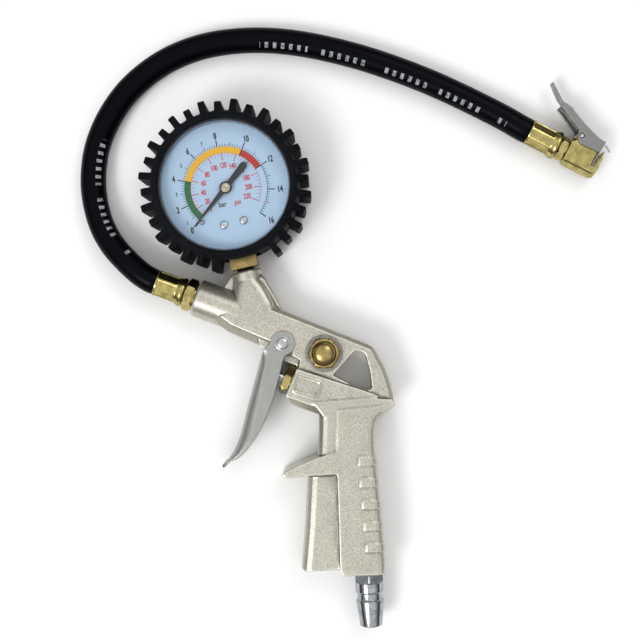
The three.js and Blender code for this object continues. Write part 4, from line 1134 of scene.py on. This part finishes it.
def make_chuck_body():
    """Round below, milled flat on top and on both sides, with two ears for the lever's pin."""
    profile = [(BODY_START, 0), (BODY_START, 6.7), (BODY_START + 0.6, CHUCK_RADIUS),
               (BODY_END - 1.7, CHUCK_RADIUS), (BODY_END - 0.4, 6.7), (BODY_END, 6.0), (BODY_END, 0)]
    span = (BODY_START - 1, BODY_END + 1)
    flat_from = -math.sqrt(CHUCK_RADIUS ** 2 - CHUCK_FLAT ** 2)
    milled = [box(span, (CHUCK_TOP, 9), (-9, 9)), box(span, (flat_from, 9), (CHUCK_FLAT, 9)),
              box(span, (flat_from, 9), (-9, -CHUCK_FLAT))]
    round_part = carved(to_mesh("round", lathe(rounded(profile, 0.4, 3), 160), CHUCK),
                        [to_mesh("milled", shape, CHUCK) for shape in milled])
    shoulders = prism([(BODY_START + 0.5, 0), (BODY_END - 0.6, 0), (BODY_END - 0.6, CHUCK_TOP),
                       (22.6, CHUCK_TOP), (BODY_START + 0.5, 4.6)], -CHUCK_FLAT, CHUCK_FLAT)
    ear = [(21.6, 4), (27, 4), (26.3, 9.0), (25.2, 10.5), (23.6, 10.9), (22.1, 10.5), (21.5, 9.2)]
    ears = [prism(ear, *depth) for depth in ((-3.3, -1.5), (1.5, 3.3))]
    bores = [lathe([(BODY_START - 1, 0), (BODY_START - 1, 4.3), (27, 4.3), (27, 0)], 64),
             lathe([(26, 0), (26, 2), (29, 2), (29, 0)], 48),
             lathe([(28.6, 0), (28.6, 4.8), (BODY_END - 0.6, 4.8), (BODY_END + 1, 6.0), (BODY_END + 1, 0)],
                   96),
             box((33.95, 36.6), (-1.9, 9), (-8, 8))]
    whole = joined(round_part, *(to_mesh("chuck", shape, CHUCK) for shape in (shoulders, *ears)))
    mesh = carved(softened(whole, 0.2, 2, 90000), [to_mesh("bore", bore, CHUCK) for bore in bores])
    mesh = softened(mesh, 0.18, 1, 90000)
    piece("chuck_brass_body", mesh, GUN, BRASS, "brass", "chuck_body")


def make_lever():
    mesh = softened(cad_copy("chuck_lever"), 0.18, 2, 80000)
    piece("chuck_thumb_lever", mesh, "chuck_lever", LEVER, "steel", "chuck_lever")
    pin = [(-6.6, 0), (-6.6, 0.8), (-6.4, 1.0), (6.4, 1.0), (6.6, 0.8), (6.6, 0.45), (6.5, 0)]
    where = CHUCK @ place(*LEVER_PIVOT, 0, 0, tilt=True)
    turned_piece("chuck_lever_pin", lathe(rounded(pin, 0.12, 3), 48), where, GUN, STEEL, "steel",
                 "lever_pin")
    coil = [(LEVER_PIVOT[0] + x, LEVER_PIVOT[1] + y, z) for x, y, z in helix(1.55, -0.8, 0.8, 2.05, 20, 270)]
    wire = [(18.4, 7.6, -0.8), (21.6, 7.45, -0.8), *coil, (26.5, 7.75, 0.75), (32.6, 9.2, 0.75),
            (36.7, 10.9, 0.75), (40.2, 8.9, 0.75)]
    path = spline([wire[0], wire[1], coil[0]], 6)[:-1] + coil[:-1] + spline([coil[-1], *wire[-4:]], 6)
    turned_piece("chuck_lever_spring", tube(path, 0.4, 10), CHUCK, GUN, STEEL, "steel", "lever_spring")


make_chuck_body()
make_lever()


# ---------------------------------------------------------------- floor, world and lights
FLOOR_REACH = 2500
SKY = [(0.0, (0.05, 0.05, 0.055)), (0.3, (0.14, 0.14, 0.145)), (0.78, (1.0, 1.0, 1.0))]


def make_stage():
    side = (-FLOOR_REACH, FLOOR_REACH)
    floor = linked("floor", to_mesh("floor", box(side, side, (-20, 0))))
    m = Nodes("floor_paint")
    tone = m.noise(3, 2.0)
    colour = m.mix(m.ramp(tone, (0.3, 0.0), (0.7, 1.0)), (0.93, 0.93, 0.93), (0.95, 0.95, 0.95))
    m.surface(color=colour, rough=0.9, specular=0.1)
    floor.data.materials.append(m.material)

    world = bpy.data.worlds.new("studio")
    world.use_nodes = True
    tree = world.node_tree
    coordinates = tree.nodes.new("ShaderNodeTexCoord")
    split = tree.nodes.new("ShaderNodeSeparateXYZ")
    ramp = tree.nodes.new("ShaderNodeValToRGB")
    fill_ramp(ramp.color_ramp, SKY)
    tree.links.new(coordinates.outputs["Generated"], split.inputs[0])
    tree.links.new(split.outputs[2], ramp.inputs[0])
    tree.links.new(ramp.outputs[0], tree.nodes["Background"].inputs["Color"])
    tree.nodes["Background"].inputs["Strength"].default_value = 1.03
    bpy.context.scene.world = world
    bpy.context.scene.view_settings.view_transform = "Standard"

    def area(name, location, size, power):
        light = bpy.data.lights.new(name, "AREA")
        light.shape = "RECTANGLE"
        light.size, light.size_y = size
        light.energy = power
        thing = linked(name, light)
        thing.location = location
        aim = Vector((0.05, -0.06, 0)) - Vector(location)
        thing.rotation_euler = aim.to_track_quat("-Z", "Y").to_euler()

    area("key", (-1.5, -1.5, 2.6), (1.1, 1.1), 44)
    area("fill", (1.2, 1.6, 2.4), (1.2, 1.2), 12)


make_stage()
